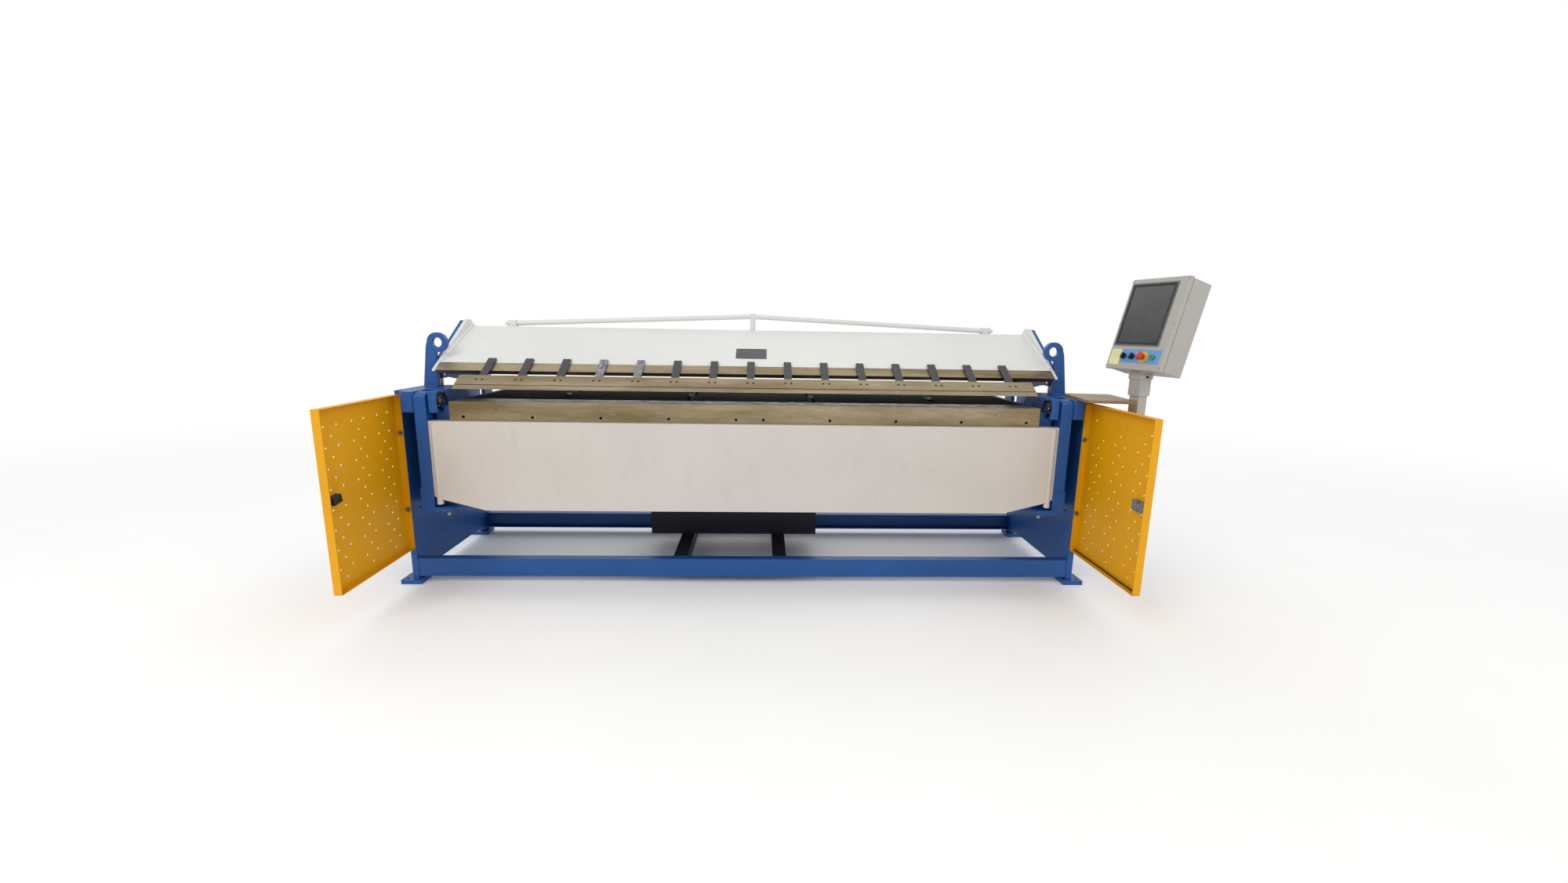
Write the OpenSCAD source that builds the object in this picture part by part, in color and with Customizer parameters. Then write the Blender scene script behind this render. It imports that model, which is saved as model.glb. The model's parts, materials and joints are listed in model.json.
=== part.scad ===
// Sheet metal folding machine: a clamping beam presses the sheet on the table,
// and a folding beam swings up about the fold line in front of it.
// X runs along the fold line, Y runs from the operator to the back, Z is up.
// The origin lies on the floor under the middle of the fold line.

/* [Working size] */
// Length of the folding and clamping blades
blade_len = 3100; // [2400:10:3600]
// Height of the fold line above the floor
fold_h = 1010; // [950:5:1100]
// Depth of the side frames behind the fold line
frame_depth = 880; // [860:5:1000]

/* [Base frame] */
// Thickness of the outer side plates
side_t = 30; // [20:1:40]
// Thickness of the inner side plates and webs
web_t = 20; // [12:1:30]
// Height of the frame's lower edge above the floor
ground_gap = 37; // [30:1:60]
// Height of the front and rear channels
channel_h = 102; // [80:1:140]
// Depth of the front and rear channels
channel_d = 50; // [40:1:60]
// Wall of the channels
channel_wall = 7; // [5:0.5:10]
// Width of a foot plate
foot_w = 110; // [90:1:130]
// Depth of a foot plate
foot_d = 105; // [90:1:130]
// Thickness of a foot plate
foot_t = 24; // [15:1:35]
// Radius of the anchor hole in a foot plate
anchor_r = 9; // [6:0.5:12]
// Distance from the middle of the machine to the anchor holes, past the blade's end
anchor_out = 319; // [315:1:325]
// Height of the side frame's top above the fold line
top_rise = 50; // [40:1:70]
// Thickness of the top plate
top_t = 25; // [15:1:35]

/* [Lifting eyes] */
// Thickness of a lifting eye
eye_t = 25; // [20:1:30]
// Outer radius of a lifting eye
eye_r = 54; // [45:1:58]
// Radius of the hole in a lifting eye
eye_hole_r = 27; // [20:1:35]
// Height of the eye's centre above the frame's top
eye_rise = 242; // [200:1:280]
// Distance from the fold line back to the eye's front face
eye_y = 240; // [235:1:245]

/* [Folding beam] */
// Thickness of the folding beam plate
beam_t = 50; // [40:1:55]
// Depth of the folding beam below the blade
beam_h = 476; // [380:1:520]
// Height cut off each lower corner of the folding beam
beam_rise = 62; // [30:1:100]
// Length of each cut lower corner
beam_taper = 235; // [100:5:400]
// Height of the folding blade
fblade_h = 100; // [80:1:120]
// Thickness of the folding blade
fblade_t = 40; // [30:1:45]
// Spacing of the lower row of blade holes
fhole_pitch = 352; // [250:1:360]
// Radius of the lower row of blade holes
fhole_r = 8; // [5:0.5:10]
// Gap between the folding blade and the fold line
fold_gap = 1; // [0.5:0.1:2]

/* [Pivots] */
// Gap from the blade's end to the inner ear
end_gap = 56; // [40:1:70]
// Thickness of the inner ear
ear_t = 46; // [35:1:60]
// Thickness of a folding arm
arm_t = 58; // [45:1:65]
// Thickness of the outer ear
outer_ear_t = 92; // [80:1:110]
// Side clearance of an arm between its ears
arm_clear = 5; // [2:0.5:8]
// Radius of a pivot shaft
shaft_r = 34; // [25:1:38]
// Radial running clearance of the pivots
run_clear = 0.06; // [0.02:0.01:0.1]
// Depth of the pivot housing behind the fold line
housing_back = 190; // [150:1:200]
// Depth of the pivot housing in front of the fold line
housing_front = 58; // [50:1:65]
// Distance from the fold line down to the housing's lower face
housing_drop = 56; // [50:1:70]

/* [Clamping beam] */
// Opening between the nose and the table at rest
open_gap = 62; // [50:1:62]
// Gap left under the closed nose
sheet_gap = 0.6; // [0.5:0.1:2]
// Distance from the fold line back to the clamp pivots
clamp_piv_y = 780; // [770:1:800]
// Height of the clamp pivots above the fold line
clamp_piv_h = 70; // [65:1:75]
// Radius of a clamp pivot pin
clamp_pin_r = 25; // [20:1:30]
// Slope of the nose and its fingers
nose_slope = 33; // [32:0.5:35]
// Width of the nose blade's sloping face
nose_w = 117; // [90:1:120]
// Thickness of the nose blade
nose_t = 22; // [18:1:26]
// Number of clamping fingers
fingers = 15; // [9:2:21]
// Width of a clamping finger
finger_w = 42; // [36:1:60]
// Thickness of a clamping finger
finger_t = 14; // [10:1:16]
// Spacing of the two screws in a finger
screw_pair = 32; // [22:1:34]
// Radius of a nose screw hole
screw_r = 6.5; // [4:0.5:8]
// Length of the clamping beam past each end of its blade
beam_over = 166; // [150:1:170]
// Thickness of a beam end plate
end_t = 20; // [16:1:24]
// Thickness of a clamp arm
clamp_arm_t = 20; // [16:1:24]
// Radius of the truss rod
truss_r = 15; // [10:1:20]
// Rise of the truss rod above the beam's top
truss_rise = 84; // [50:1:120]

/* [Table] */
// Depth of the table blade behind the fold line
tblade_d = 106; // [80:1:110]
// Thickness of the table blade
tblade_t = 25; // [20:1:40]
// Spacing of the ribs on the table mats
rib_pitch = 17.5; // [14:0.5:30]
// Width of a rib
rib_w = 8; // [5:0.5:10]
// Height of a rib
rib_h = 8; // [4:0.5:9]
// Thickness of a mat under its ribs
mat_t = 4; // [3:0.5:5]
// Thickness of the table plate
table_t = 12; // [8:1:15]
// Width of a gauge finger's slot
slot_w = 34; // [24:1:44]
// Distance from the middle to the inner gauge slots
slot_x = 350; // [250:5:400]

/* [Back gauge] */
// Distance from the fold line back to the gauge stops at rest
gauge_y = 330; // [320:5:420]
// Width of a gauge module
module_w = 80; // [60:1:100]
// Height of a gauge module
module_h = 60; // [50:1:70]

/* [Hydraulics] */
// Length of the oil tank
tank_l = 1023; // [800:1:1100]
// Depth of the oil tank
tank_d = 330; // [250:1:340]
// Height of the oil tank
tank_h = 360; // [250:1:400]
// Radius of a clamp cylinder's barrel
barrel_r = 35; // [30:1:38]
// Radius of a clamp cylinder's rod
rod_r = 20; // [14:1:22]
// Radius of the pin in a rod's eye
rod_pin_r = 12; // [9:1:14]

/* [Side guards] */
// Length of a side guard
guard_l = 594; // [450:1:650]
// Height of a side guard
guard_h = 839; // [700:1:900]
// Height of a guard's lower edge above the floor
guard_z = 200; // [160:1:240]
// Width of a guard's folded rims
rim_w = 36; // [25:1:45]
// Thickness of a guard's sheet
sheet_t = 2.5; // [1.5:0.5:4]
// Inward lean of the left guard in degrees
left_toe = 1; // [0:0.1:4]
// Inward lean of the right guard in degrees
right_toe = 0.4; // [0:0.1:4]
// Radius of a guard hole
perf_r = 5; // [3:0.5:7]

/* [Console] */
// Width of the console case
case_w = 337; // [300:1:400]
// Height of the console case
case_h = 478; // [450:1:550]
// Depth of the console case
case_d = 150; // [120:1:180]
// Depth of the console's front cover
cover_d = 26; // [18:1:40]
// Turn of the console at rest
console_turn = -75; // [-90:1:-45]
// Backward lean of the console case
console_lean = 15; // [5:1:20]
// Width of the square post
post_w = 56; // [40:1:66]
// Width of the swivel sleeve
sleeve_w = 70; // [60:1:90]

/* [Hidden] */
$fn = 48;

// Places along X, worked out from the blade's end outwards
blade_end = blade_len / 2;
ear_in = blade_end + end_gap;
ear_out = ear_in + ear_t;
arm_in = ear_out + arm_clear;
arm_out = arm_in + arm_t;
outer_in = arm_out + arm_clear;
end_in = blade_end + beam_over;
clamp_arm_in = end_in + end_t;
clamp_arm_out = clamp_arm_in + clamp_arm_t;
tongue = 12;
cyl_x = clamp_arm_out + 2 + tongue;
barrel_clear = 7;
// the side plate lies outside both the outer ear and the clamp cylinder
plate_in = max(outer_in + outer_ear_t, cyl_x + barrel_r + barrel_clear);
plate_out = plate_in + side_t;
anchor_x = blade_end + anchor_out;
web_out = arm_in + 3;
web_in = web_out - web_t;

// Heights
frame_top = fold_h + top_rise;
housing_z = fold_h - housing_drop;
channel_top = ground_gap + channel_h;
clamp_piv_z = fold_h + clamp_piv_h;
fblade_z = fold_h - fblade_h;
beam_z = fblade_z - beam_h;

// Side frame
frame_front = 0;
web_y = 150;
cylinder_y = 313;
top_back = 370;
rear_shelf_z = clamp_piv_z - 167;
rear_shelf_t = 22;
inner_z = 430;
actuator_r = 44;
actuator_out = plate_in - 24;
stub_r = 26;
arm_sweep = 76;
clamp_ear_x = clamp_arm_in - 4 - web_t;
shelf_z = 620;
barrel_top = fold_h - 70;

// Folding beam and arms
beam_front = -62;
arm_back = 38;
arm_head_r = 48;
arm_foot_top = fblade_z - 348;

// Clamping beam: the nose lies on a slope through its tip
tip_y = -fold_gap;
tip_z = fold_h + open_gap;
piv_reach = norm([clamp_piv_y - tip_y, clamp_piv_z - tip_z]);
open_angle = asin((clamp_piv_z - fold_h - sheet_gap) / piv_reach)
           - asin((clamp_piv_z - tip_z) / piv_reach);
finger_pitch = (blade_len - 25) / fingers;
finger_start = 50;
finger_reach = 289;
holder_w = 72;
holder_t = 30;
holder_start = 188;
box_top_y = 621;
box_top_z = 384;
box_back_y = 690;
end_low_y = 180;
end_low_z = 148;
end_top_y = 585;
end_top_z = 421;
box_low_z = 155;
rod_pin_z = fold_h + 115;

// Table and gauge
beam_front_y = 5;
lower_beam_d = 200;
lower_beam_h = fold_h - tblade_t - beam_z + 4;
lower_beam_wall = 15;
table_y = beam_front_y + tblade_d + 1;
table_top = fold_h - 2;
plate_top = table_top - rib_h - mat_t;
slot_out = 3 * slot_x;
slots = [-slot_out, -slot_x, slot_x, slot_out];
slot_start = table_y + 20;
module_top = plate_top - table_t - 65;
module_x = 2 * slot_x;

// Hydraulics
tank_x = -615;
tank_y = 425;
rail_xs = [-387, 171];
rail_w = 76;

// Guards
panel_x = plate_out + 9;
bolt_zs = [420, 838];

// Console
post_x = plate_out + 194;
post_y = -100;
bracket_z = frame_top - 160;
bracket_t = 20;
post_top = 1094;
spigot_r = 22;
sleeve_top = 1205;
case_z = 1212;
screen_w = 269;
screen_h = 332;
button_h = 67;

// Mirrors a piece drawn on the right to the side s
module on_side(s) {
  if (s > 0) children();
  else mirror([1, 0, 0]) children();
}

// Plate with an outline in Y and Z, from x0 outwards
module plate_x(x0, t, outline) {
  translate([x0, 0, 0]) rotate([90, 0, 90]) linear_extrude(t) polygon(outline);
}

// Plate with an outline in X and Z, from y0 backwards
module plate_y(y0, t, outline) {
  translate([0, y0 + t, 0]) rotate([90, 0, 0]) linear_extrude(t) polygon(outline);
}

// Round bar along X
module bar_x(x0, x1, y, z, r) {
  translate([x0, y, z]) rotate([0, 90, 0]) cylinder(r = r, h = x1 - x0);
}

// Box from one corner to the opposite one
module block(a, b) {
  translate(a) cube([b.x - a.x, b.y - a.y, b.z - a.z]);
}

// ---------------------------------------------------------------- base frame

// Outline of the outer side plate: a low rear with a raised boss for the clamp pin
module side_outline() {
  difference() {
    union() {
      polygon([
        [frame_front, ground_gap], [frame_front, frame_top], [top_back - 40, frame_top],
        [top_back + 50, fold_h - 20], [clamp_piv_y - 90, fold_h - 20],
        [clamp_piv_y - 55, clamp_piv_z], [clamp_piv_y + 55, clamp_piv_z],
        [frame_depth, fold_h - 20], [frame_depth, ground_gap], [frame_depth - 115, ground_gap],
        [frame_depth - 145, ground_gap + 22], [145, ground_gap + 22], [115, ground_gap]
      ]);
      translate([clamp_piv_y, clamp_piv_z]) circle(r = 55);
    }
    translate([clamp_piv_y, clamp_piv_z]) circle(r = clamp_pin_r + 0.05);
  }
}

// Foot plate with its anchor hole
module foot(y) {
  difference() {
    block([plate_out - foot_w / 2, y - foot_d * 0.22, 0],
          [plate_out + foot_w / 2, y + foot_d * 0.78, foot_t]);
    translate([anchor_x, y, -1]) cylinder(r = anchor_r, h = foot_t + 2);
  }
  block([plate_in, max(frame_front, y), foot_t], [plate_out, y + foot_d * 0.6, ground_gap + 1]);
}

rear_foot_y = frame_depth - foot_d * 0.78;

// Lifting eye: a strip with a round eye set inwards
module lifting_eye() {
  eye_x = plate_out - 112;
  eye_z = frame_top + eye_rise;
  inner_x = clamp_arm_in + 6;
  translate([0, eye_y + eye_t, 0]) rotate([90, 0, 0]) linear_extrude(eye_t) difference() {
    union() {
      translate([eye_x, eye_z]) circle(r = eye_r);
      polygon([
        [plate_out - 22, frame_top - 20], [plate_out - 22, frame_top], [plate_out - 51, eye_z - 17],
        [eye_x + eye_r * 0.8, eye_z + eye_r * 0.6], [eye_x, eye_z], [inner_x, eye_z - eye_r + 2],
        [inner_x, frame_top], [plate_in + 1, frame_top], [plate_in + 1, frame_top - 20]
      ]);
    }
    translate([eye_x, eye_z]) circle(r = eye_hole_r);
  }
}

// Side plate with its feet and the lifting lug let into its top edge
module side_frame() {
  translate([plate_in, 0, 0]) rotate([90, 0, 90]) linear_extrude(side_t) side_outline();
  foot(0);
  foot(rear_foot_y);
  lifting_eye();
}

// Box of webs and shelves welded inside the plate
module frame_box() {
  // front web across the box
  block([web_in, web_y, inner_z], [plate_in, web_y + web_t, housing_z]);
  // bottom plate of the box
  block([web_in, web_y, inner_z], [plate_in, frame_depth - 20, inner_z + web_t]);
  // inner plate
  plate_x(web_in, web_t, [
    [web_y + 1, inner_z], [web_y + 1, housing_z], [housing_back, housing_z],
    [housing_back, frame_top - 1], [top_back - 40, frame_top - 1],
    [top_back + 40, rear_shelf_z + rear_shelf_t], [frame_depth - 20, rear_shelf_z + rear_shelf_t],
    [frame_depth - 20, inner_z]
  ]);
  // top plate behind the pivot housing, open round the cylinder's rod
  difference() {
    block([web_in, housing_back, frame_top - top_t], [plate_in, top_back - 40, frame_top]);
    translate([cyl_x, cylinder_y, frame_top - top_t - 1]) cylinder(r = rod_r + 6, h = top_t + 2);
  }
  // shelf under the clamp cylinder
  block([web_out - 1, cylinder_y - 50, shelf_z], [plate_in, cylinder_y + 50, shelf_z + web_t]);
  // rear shelf and the inner ear of the clamp pivot
  block([web_out - 1, clamp_piv_y - 80, rear_shelf_z],
        [plate_in, frame_depth - 20, rear_shelf_z + rear_shelf_t]);
  translate([clamp_ear_x, 0, 0]) rotate([90, 0, 90]) linear_extrude(web_t) difference() {
    union() {
      polygon([
        [clamp_piv_y - 55, rear_shelf_z + 5], [clamp_piv_y - 55, clamp_piv_z],
        [clamp_piv_y + 55, clamp_piv_z], [clamp_piv_y + 55, rear_shelf_z + 5]
      ]);
      translate([clamp_piv_y, clamp_piv_z]) circle(r = 55);
    }
    translate([clamp_piv_y, clamp_piv_z]) circle(r = clamp_pin_r + 0.05);
  }
}

module left_side_frame() { color("steelblue") on_side(-1) side_frame(); }
module right_side_frame() { color("steelblue") on_side(1) side_frame(); }
module left_frame_box() { color("steelblue") on_side(-1) frame_box(); }
module right_frame_box() { color("steelblue") on_side(1) frame_box(); }

// Channel on its edge, open towards the inside of the frame
module channel(y, open_dir) {
  color("steelblue") translate([-plate_in, 0, 0]) rotate([90, 0, 90]) linear_extrude(2 * plate_in)
    difference() {
      translate([y, ground_gap]) square([channel_d, channel_h]);
      translate([y + open_dir * channel_wall, ground_gap + channel_wall])
        square([channel_d, channel_h - 2 * channel_wall]);
    }
}
module front_channel() { channel(2, 1); }
module rear_channel() { channel(frame_depth - channel_d - 2, -1); }

module tank_rails() {
  color("dimgray") for (x = rail_xs)
    block([x - rail_w / 2, channel_d + 2, channel_top - 79],
          [x + rail_w / 2, frame_depth - channel_d - 2, channel_top]);
}

// ---------------------------------------------------------------- fold pivots

// Clevis block: an inner and an outer ear with the arm's slot between them
module pivot_housing() {
  cham = 12;
  difference() {
    translate([0, 0, housing_z]) linear_extrude(frame_top - housing_z) polygon([
      [ear_in, -housing_front + cham], [ear_in + cham, -housing_front],
      [actuator_out - cham, -housing_front], [actuator_out, -housing_front + cham],
      [actuator_out, 2], [plate_in, 2], [plate_in, housing_back], [ear_in, housing_back]
    ]);
    // slot for the arm
    block([ear_out, -housing_front - 1, housing_z - 1], [outer_in, arm_sweep, frame_top + 1]);
    // chamfers along the ears' front edges beside the slot
    for (x = [ear_out, outer_in]) translate([x, -housing_front, housing_z - 1])
      rotate([0, 0, 45]) translate([-cham * 0.7, -cham * 0.7, 0])
        cube([cham * 1.4, cham * 1.4, frame_top - housing_z + 2]);
    // shaft bore in the inner ear, actuator bore in the outer ear
    bar_x(ear_in - 1, ear_out + 1, 0, fold_h, shaft_r + run_clear);
    bar_x(outer_in - 1, actuator_out - 12, 0, fold_h, actuator_r);
  }
}
module left_pivot_housing() { color("steelblue") on_side(-1) pivot_housing(); }
module right_pivot_housing() { color("steelblue") on_side(1) pivot_housing(); }

// Rotary actuator: a round body let into the outer ear, turning the shaft's stub
module pivot_actuator() {
  difference() {
    union() {
      bar_x(outer_in, actuator_out - 12, 0, fold_h, actuator_r);
      bar_x(outer_in - 2, outer_in, 0, fold_h, actuator_r - 4);
    }
    bar_x(outer_in - 3, actuator_out - 20, 0, fold_h, stub_r + run_clear);
  }
}
module pivot_actuators() { color("dimgray") for (s = [-1, 1]) on_side(s) pivot_actuator(); }

// Shaft: a thick journal through the inner ear and arm, and a stub in the actuator
module pivot_shaft() {
  difference() {
    union() {
      bar_x(ear_in + 4, arm_out, 0, fold_h, shaft_r);
      bar_x(arm_out, actuator_out - 22, 0, fold_h, stub_r);
    }
    bar_x(ear_in + 3, ear_in + 16, 0, fold_h, shaft_r * 0.45);
  }
}
module left_pivot_shaft() { color("silver") on_side(-1) pivot_shaft(); }
module right_pivot_shaft() { color("silver") on_side(1) pivot_shaft(); }

// ---------------------------------------------------------------- folding beam

module folding_beam() {
  half = arm_in;
  color("linen") difference() {
    plate_y(beam_front, beam_t, [
      [-half, fblade_z], [-half, beam_z + beam_rise + 12], [-half + 32, beam_z + beam_rise],
      [-half + 32 + beam_taper, beam_z], [half - 32 - beam_taper, beam_z],
      [half - 32, beam_z + beam_rise], [half, beam_z + beam_rise + 12], [half, fblade_z]
    ]);
    // end strips are set back behind the front face
    for (s = [-1, 1]) on_side(s)
      block([half - 36, beam_front - 1, beam_z], [half + 1, beam_front + 9, fblade_z + 1]);
  }
}

module folding_blade() {
  half_holes = floor((blade_end - 100) / fhole_pitch);
  color("darkkhaki") difference() {
    for (s = [-1, 1]) on_side(s)
      block([0.2, -fold_gap - fblade_t, fblade_z], [blade_end, -fold_gap, fold_h]);
    for (s = [-1, 1], k = [0:half_holes])
      translate([s * (72 + k * fhole_pitch), -fold_gap - fblade_t - 1, fblade_z + 22])
        rotate([-90, 0, 0]) cylinder(r = fhole_r, h = 24);
    for (s = [-1, 1], k = [0:2])
      translate([s * (250 + k * 530), -fold_gap - fblade_t - 1, fold_h - 36])
        rotate([-90, 0, 0]) cylinder(r = fhole_r * 0.5, h = 24);
  }
}

// Arm: a thick plate that hangs from the pivot, round behind it and chamfered in front
module folding_arm() {
  difference() {
    union() {
      plate_x(arm_in, arm_t, [
        [beam_front, arm_foot_top], [beam_front, fold_h + 26], [beam_front + 22, fold_h + 44],
        [-20, fold_h + 44], [0, fold_h], [arm_back, fold_h - 20], [arm_back, fold_h - 200],
        [arm_back - 20, arm_foot_top]
      ]);
      bar_x(arm_in, arm_out, 0, fold_h, arm_head_r);
    }
    bar_x(arm_in - 1, arm_out + 1, 0, fold_h, shaft_r);
  }
}
module left_folding_arm() { color("steelblue") on_side(-1) folding_arm(); }
module right_folding_arm() { color("steelblue") on_side(1) folding_arm(); }

// Foot at the arm's lower end: a chamfered block on a base plate under the beam
module arm_foot() {
  base_z = beam_z - 12;
  plate_y(beam_front, -beam_front - fold_gap, [
    [arm_in, arm_foot_top], [arm_out, arm_foot_top], [arm_out + 8, arm_foot_top - 8],
    [arm_out + 8, base_z + 28], [arm_out + 31, base_z + 28], [arm_out + 31, base_z],
    [arm_in - 79, base_z], [arm_in - 79, base_z + 28], [arm_in, base_z + 28]
  ]);
}
module left_arm_foot() { color("steelblue") on_side(-1) arm_foot(); }
module right_arm_foot() { color("steelblue") on_side(1) arm_foot(); }

// ---------------------------------------------------------------- clamping beam

// Point on the nose's slope: u up the slope from the tip, v above the sloping face
function slope_pt(u, v) = [
  tip_y + u * cos(nose_slope) - v * sin(nose_slope),
  tip_z + u * sin(nose_slope) + v * cos(nose_slope)
];
// Where the underside, which is level once closed, is v above the sloping face
function under_u(v) = -v * cos(nose_slope + open_angle) / sin(nose_slope + open_angle);

module nose_blade() {
  lip = 34;
  groove = 4;
  screw_u = nose_w * 0.69;
  color("darkkhaki") difference() {
    plate_x(-blade_end, blade_len, [
      slope_pt(0, 0), slope_pt(lip, 0), slope_pt(lip, -3), slope_pt(lip + groove, -3),
      slope_pt(lip + groove, 2), slope_pt(nose_w, 2), slope_pt(nose_w, -nose_t),
      slope_pt(under_u(-nose_t), -nose_t)
    ]);
    // pockets in the back for the fingers, and their screws
    for (k = [0:fingers - 1]) {
      plate_x(finger_x(k) - finger_w / 2 - 0.1, finger_w + 0.2, [
        slope_pt(finger_start - 0.1, -nose_t + finger_t + 0.02), slope_pt(nose_w + 1, -nose_t + finger_t + 0.02),
        slope_pt(nose_w + 1, -nose_t - 1), slope_pt(finger_start - 0.1, -nose_t - 1)
      ]);
      for (d = [-0.5, 0.5])
        translate([finger_x(k) + d * screw_pair, slope_pt(screw_u, 3)[0], slope_pt(screw_u, 3)[1]])
          rotate([nose_slope, 0, 0]) translate([0, 0, -8]) cylinder(r = screw_r, h = 10, $fn = 24);
    }
  }
}
function finger_x(k) = (k - (fingers - 1) / 2) * finger_pitch;

module clamp_fingers() {
  color("dimgray") for (k = [0:fingers - 1])
    plate_x(finger_x(k) - finger_w / 2, finger_w, [
      slope_pt(finger_start, -nose_t + finger_t), slope_pt(finger_reach - 3, -nose_t + finger_t),
      slope_pt(finger_reach, -nose_t + finger_t - 3), slope_pt(finger_reach, -nose_t + 0.02), slope_pt(finger_start, -nose_t + 0.02)
    ]);
}

module holder_bar() {
  color("darkkhaki") plate_x(-end_in, 2 * end_in, [
    slope_pt(holder_start, -nose_t), slope_pt(holder_start + holder_w, -nose_t),
    slope_pt(holder_start + holder_w, -nose_t - holder_t), slope_pt(holder_start + 8, -nose_t - holder_t)
  ]);
}

// Point of the clamping beam's section, given behind and above the fold line
function box_pt(y, z) = [y, fold_h + z];

module clamp_beam() {
  low_front = slope_pt(holder_start + holder_w, -nose_t);
  low_back = slope_pt(holder_start + holder_w, -nose_t - holder_t);
  color("linen") plate_x(-end_in, 2 * end_in, [
    low_front, box_pt(box_top_y, box_top_z), box_pt(box_back_y, box_top_z), box_pt(box_back_y, box_low_z),
    [low_back.x + 6, fold_h + box_low_z], low_back
  ]);
}

module end_plate() {
  plate_x(end_in, end_t, [
    box_pt(end_low_y - 3, box_low_z - 15), box_pt(end_low_y, end_low_z), box_pt(end_top_y, end_top_z),
    box_pt(end_top_y + 40, end_top_z), box_pt(box_back_y + 20, box_top_z - 30),
    box_pt(box_back_y + 20, box_low_z - 15)
  ]);
}
module left_end_plate() { color("linen") on_side(-1) end_plate(); }
module right_end_plate() { color("linen") on_side(1) end_plate(); }

// Height of the end plate's sloping edge at a place behind the fold line
function edge_z(y) = end_low_z + (y - end_low_y) * (end_top_z - end_low_z) / (end_top_y - end_low_y);

// Arm from the beam's end back to its pivot, with an outer cheek for the cylinder's pin
module clamp_arm() {
  y0 = cylinder_y - 29;
  low = rod_pin_z - fold_h - 23;
  cheek_in = cyl_x + tongue + 2;
  cheek_out = cheek_in + clamp_arm_t;
  slot_r = rod_pin_r + 0.4;
  difference() {
    union() {
      plate_x(clamp_arm_in, clamp_arm_t, [
        box_pt(y0, low), box_pt(y0, edge_z(y0) - 6), box_pt(end_top_y - 8, end_top_z - 6),
        box_pt(end_top_y + 46, end_top_z - 6), box_pt(box_back_y + 60, box_low_z + 60),
        [clamp_piv_y + 40, clamp_piv_z + 20], [clamp_piv_y - 18, clamp_piv_z - 40],
        box_pt(box_top_y - 60, box_low_z - 100), box_pt(y0 + 90, low)
      ]);
      // boss out to the side frame
      bar_x(clamp_arm_in, plate_in - 4, clamp_piv_y, clamp_piv_z, 52);
      // outer cheek and the bridge behind the rod's eye
      block([cheek_in, y0, fold_h + low], [cheek_out, cylinder_y + 61, rod_pin_z + 21]);
      block([clamp_arm_out - 1, cylinder_y + 31, fold_h + low + 1], [cheek_in + 1, cylinder_y + 60, rod_pin_z + 20]);
    }
    bar_x(clamp_arm_in - 1, plate_in, clamp_piv_y, clamp_piv_z, clamp_pin_r + run_clear);
    // slots that take the rod's pin
    block([clamp_arm_in - 1, cylinder_y - slot_r - slot_play, rod_pin_z - slot_r],
          [cheek_out + 1, cylinder_y + slot_r + slot_play, rod_pin_z + slot_r]);
  }
}
slot_play = 3.5;
module left_clamp_arm() { color("steelblue") on_side(-1) clamp_arm(); }
module right_clamp_arm() { color("steelblue") on_side(1) clamp_arm(); }

module clamp_pins() {
  color("silver") for (s = [-1, 1]) on_side(s) {
    bar_x(clamp_ear_x - 6, plate_out + 4, clamp_piv_y, clamp_piv_z, clamp_pin_r);
    bar_x(plate_out, plate_out + 10, clamp_piv_y, clamp_piv_z, clamp_pin_r + 10);
  }
}

// Truss rod: an arch of two straight runs over a middle post, on two end lugs
module truss_rod() {
  reach = blade_end * 0.957;
  y = box_back_y - 24;
  z0 = fold_h + box_top_z;
  low = z0 + truss_r + 4;
  high = z0 + truss_rise;
  run = norm([reach, high - low]);
  tilt = atan2(high - low, reach);
  color("white") {
    for (s = [-1, 1]) on_side(s) {
      translate([0, y, high]) rotate([0, 90 + tilt, 0]) cylinder(r = truss_r, h = run);
      block([reach - 30, y - truss_r - 4, z0], [reach + 12, y + truss_r + 4, low + truss_r + 4]);
    }
    translate([0, y, z0]) cylinder(r = truss_r + 2, h = truss_rise + truss_r + 2);
  }
}

// Barrel with its end caps, bolted on the shelf in the side frame
module clamp_cylinder() {
  difference() {
    union() {
      block([cyl_x - barrel_r, cylinder_y - 42, shelf_z + web_t], [cyl_x + barrel_r, cylinder_y + 42, shelf_z + web_t + 30]);
      translate([cyl_x, cylinder_y, shelf_z + web_t]) cylinder(r = barrel_r - 3, h = barrel_top - shelf_z - web_t);
      translate([cyl_x, cylinder_y, barrel_top - 40]) cylinder(r = barrel_r, h = 40);
    }
    translate([cyl_x, cylinder_y, shelf_z + web_t + 40])
      cylinder(r = rod_r + run_clear, h = barrel_top);
  }
}
module left_clamp_cylinder() { color("dimgray") on_side(-1) clamp_cylinder(); }
module right_clamp_cylinder() { color("dimgray") on_side(1) clamp_cylinder(); }

// Rod with a flat tongue, its round eye and the cross pin
module clamp_rod() {
  neck_z = rod_pin_z - 27;
  translate([cyl_x, cylinder_y, shelf_z + web_t + 90]) cylinder(r = rod_r, h = neck_z - shelf_z - web_t - 90);
  block([cyl_x - tongue, cylinder_y - 19, neck_z - 1], [cyl_x + tongue, cylinder_y + 19, rod_pin_z]);
  bar_x(cyl_x - tongue, cyl_x + tongue, cylinder_y, rod_pin_z, 19);
  bar_x(clamp_arm_in + 2, cyl_x + tongue + clamp_arm_t, cylinder_y, rod_pin_z, rod_pin_r);
}
module left_clamp_rod() { color("silver") on_side(-1) clamp_rod(); }
module right_clamp_rod() { color("silver") on_side(1) clamp_rod(); }

// ---------------------------------------------------------------- table and gauge

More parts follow.
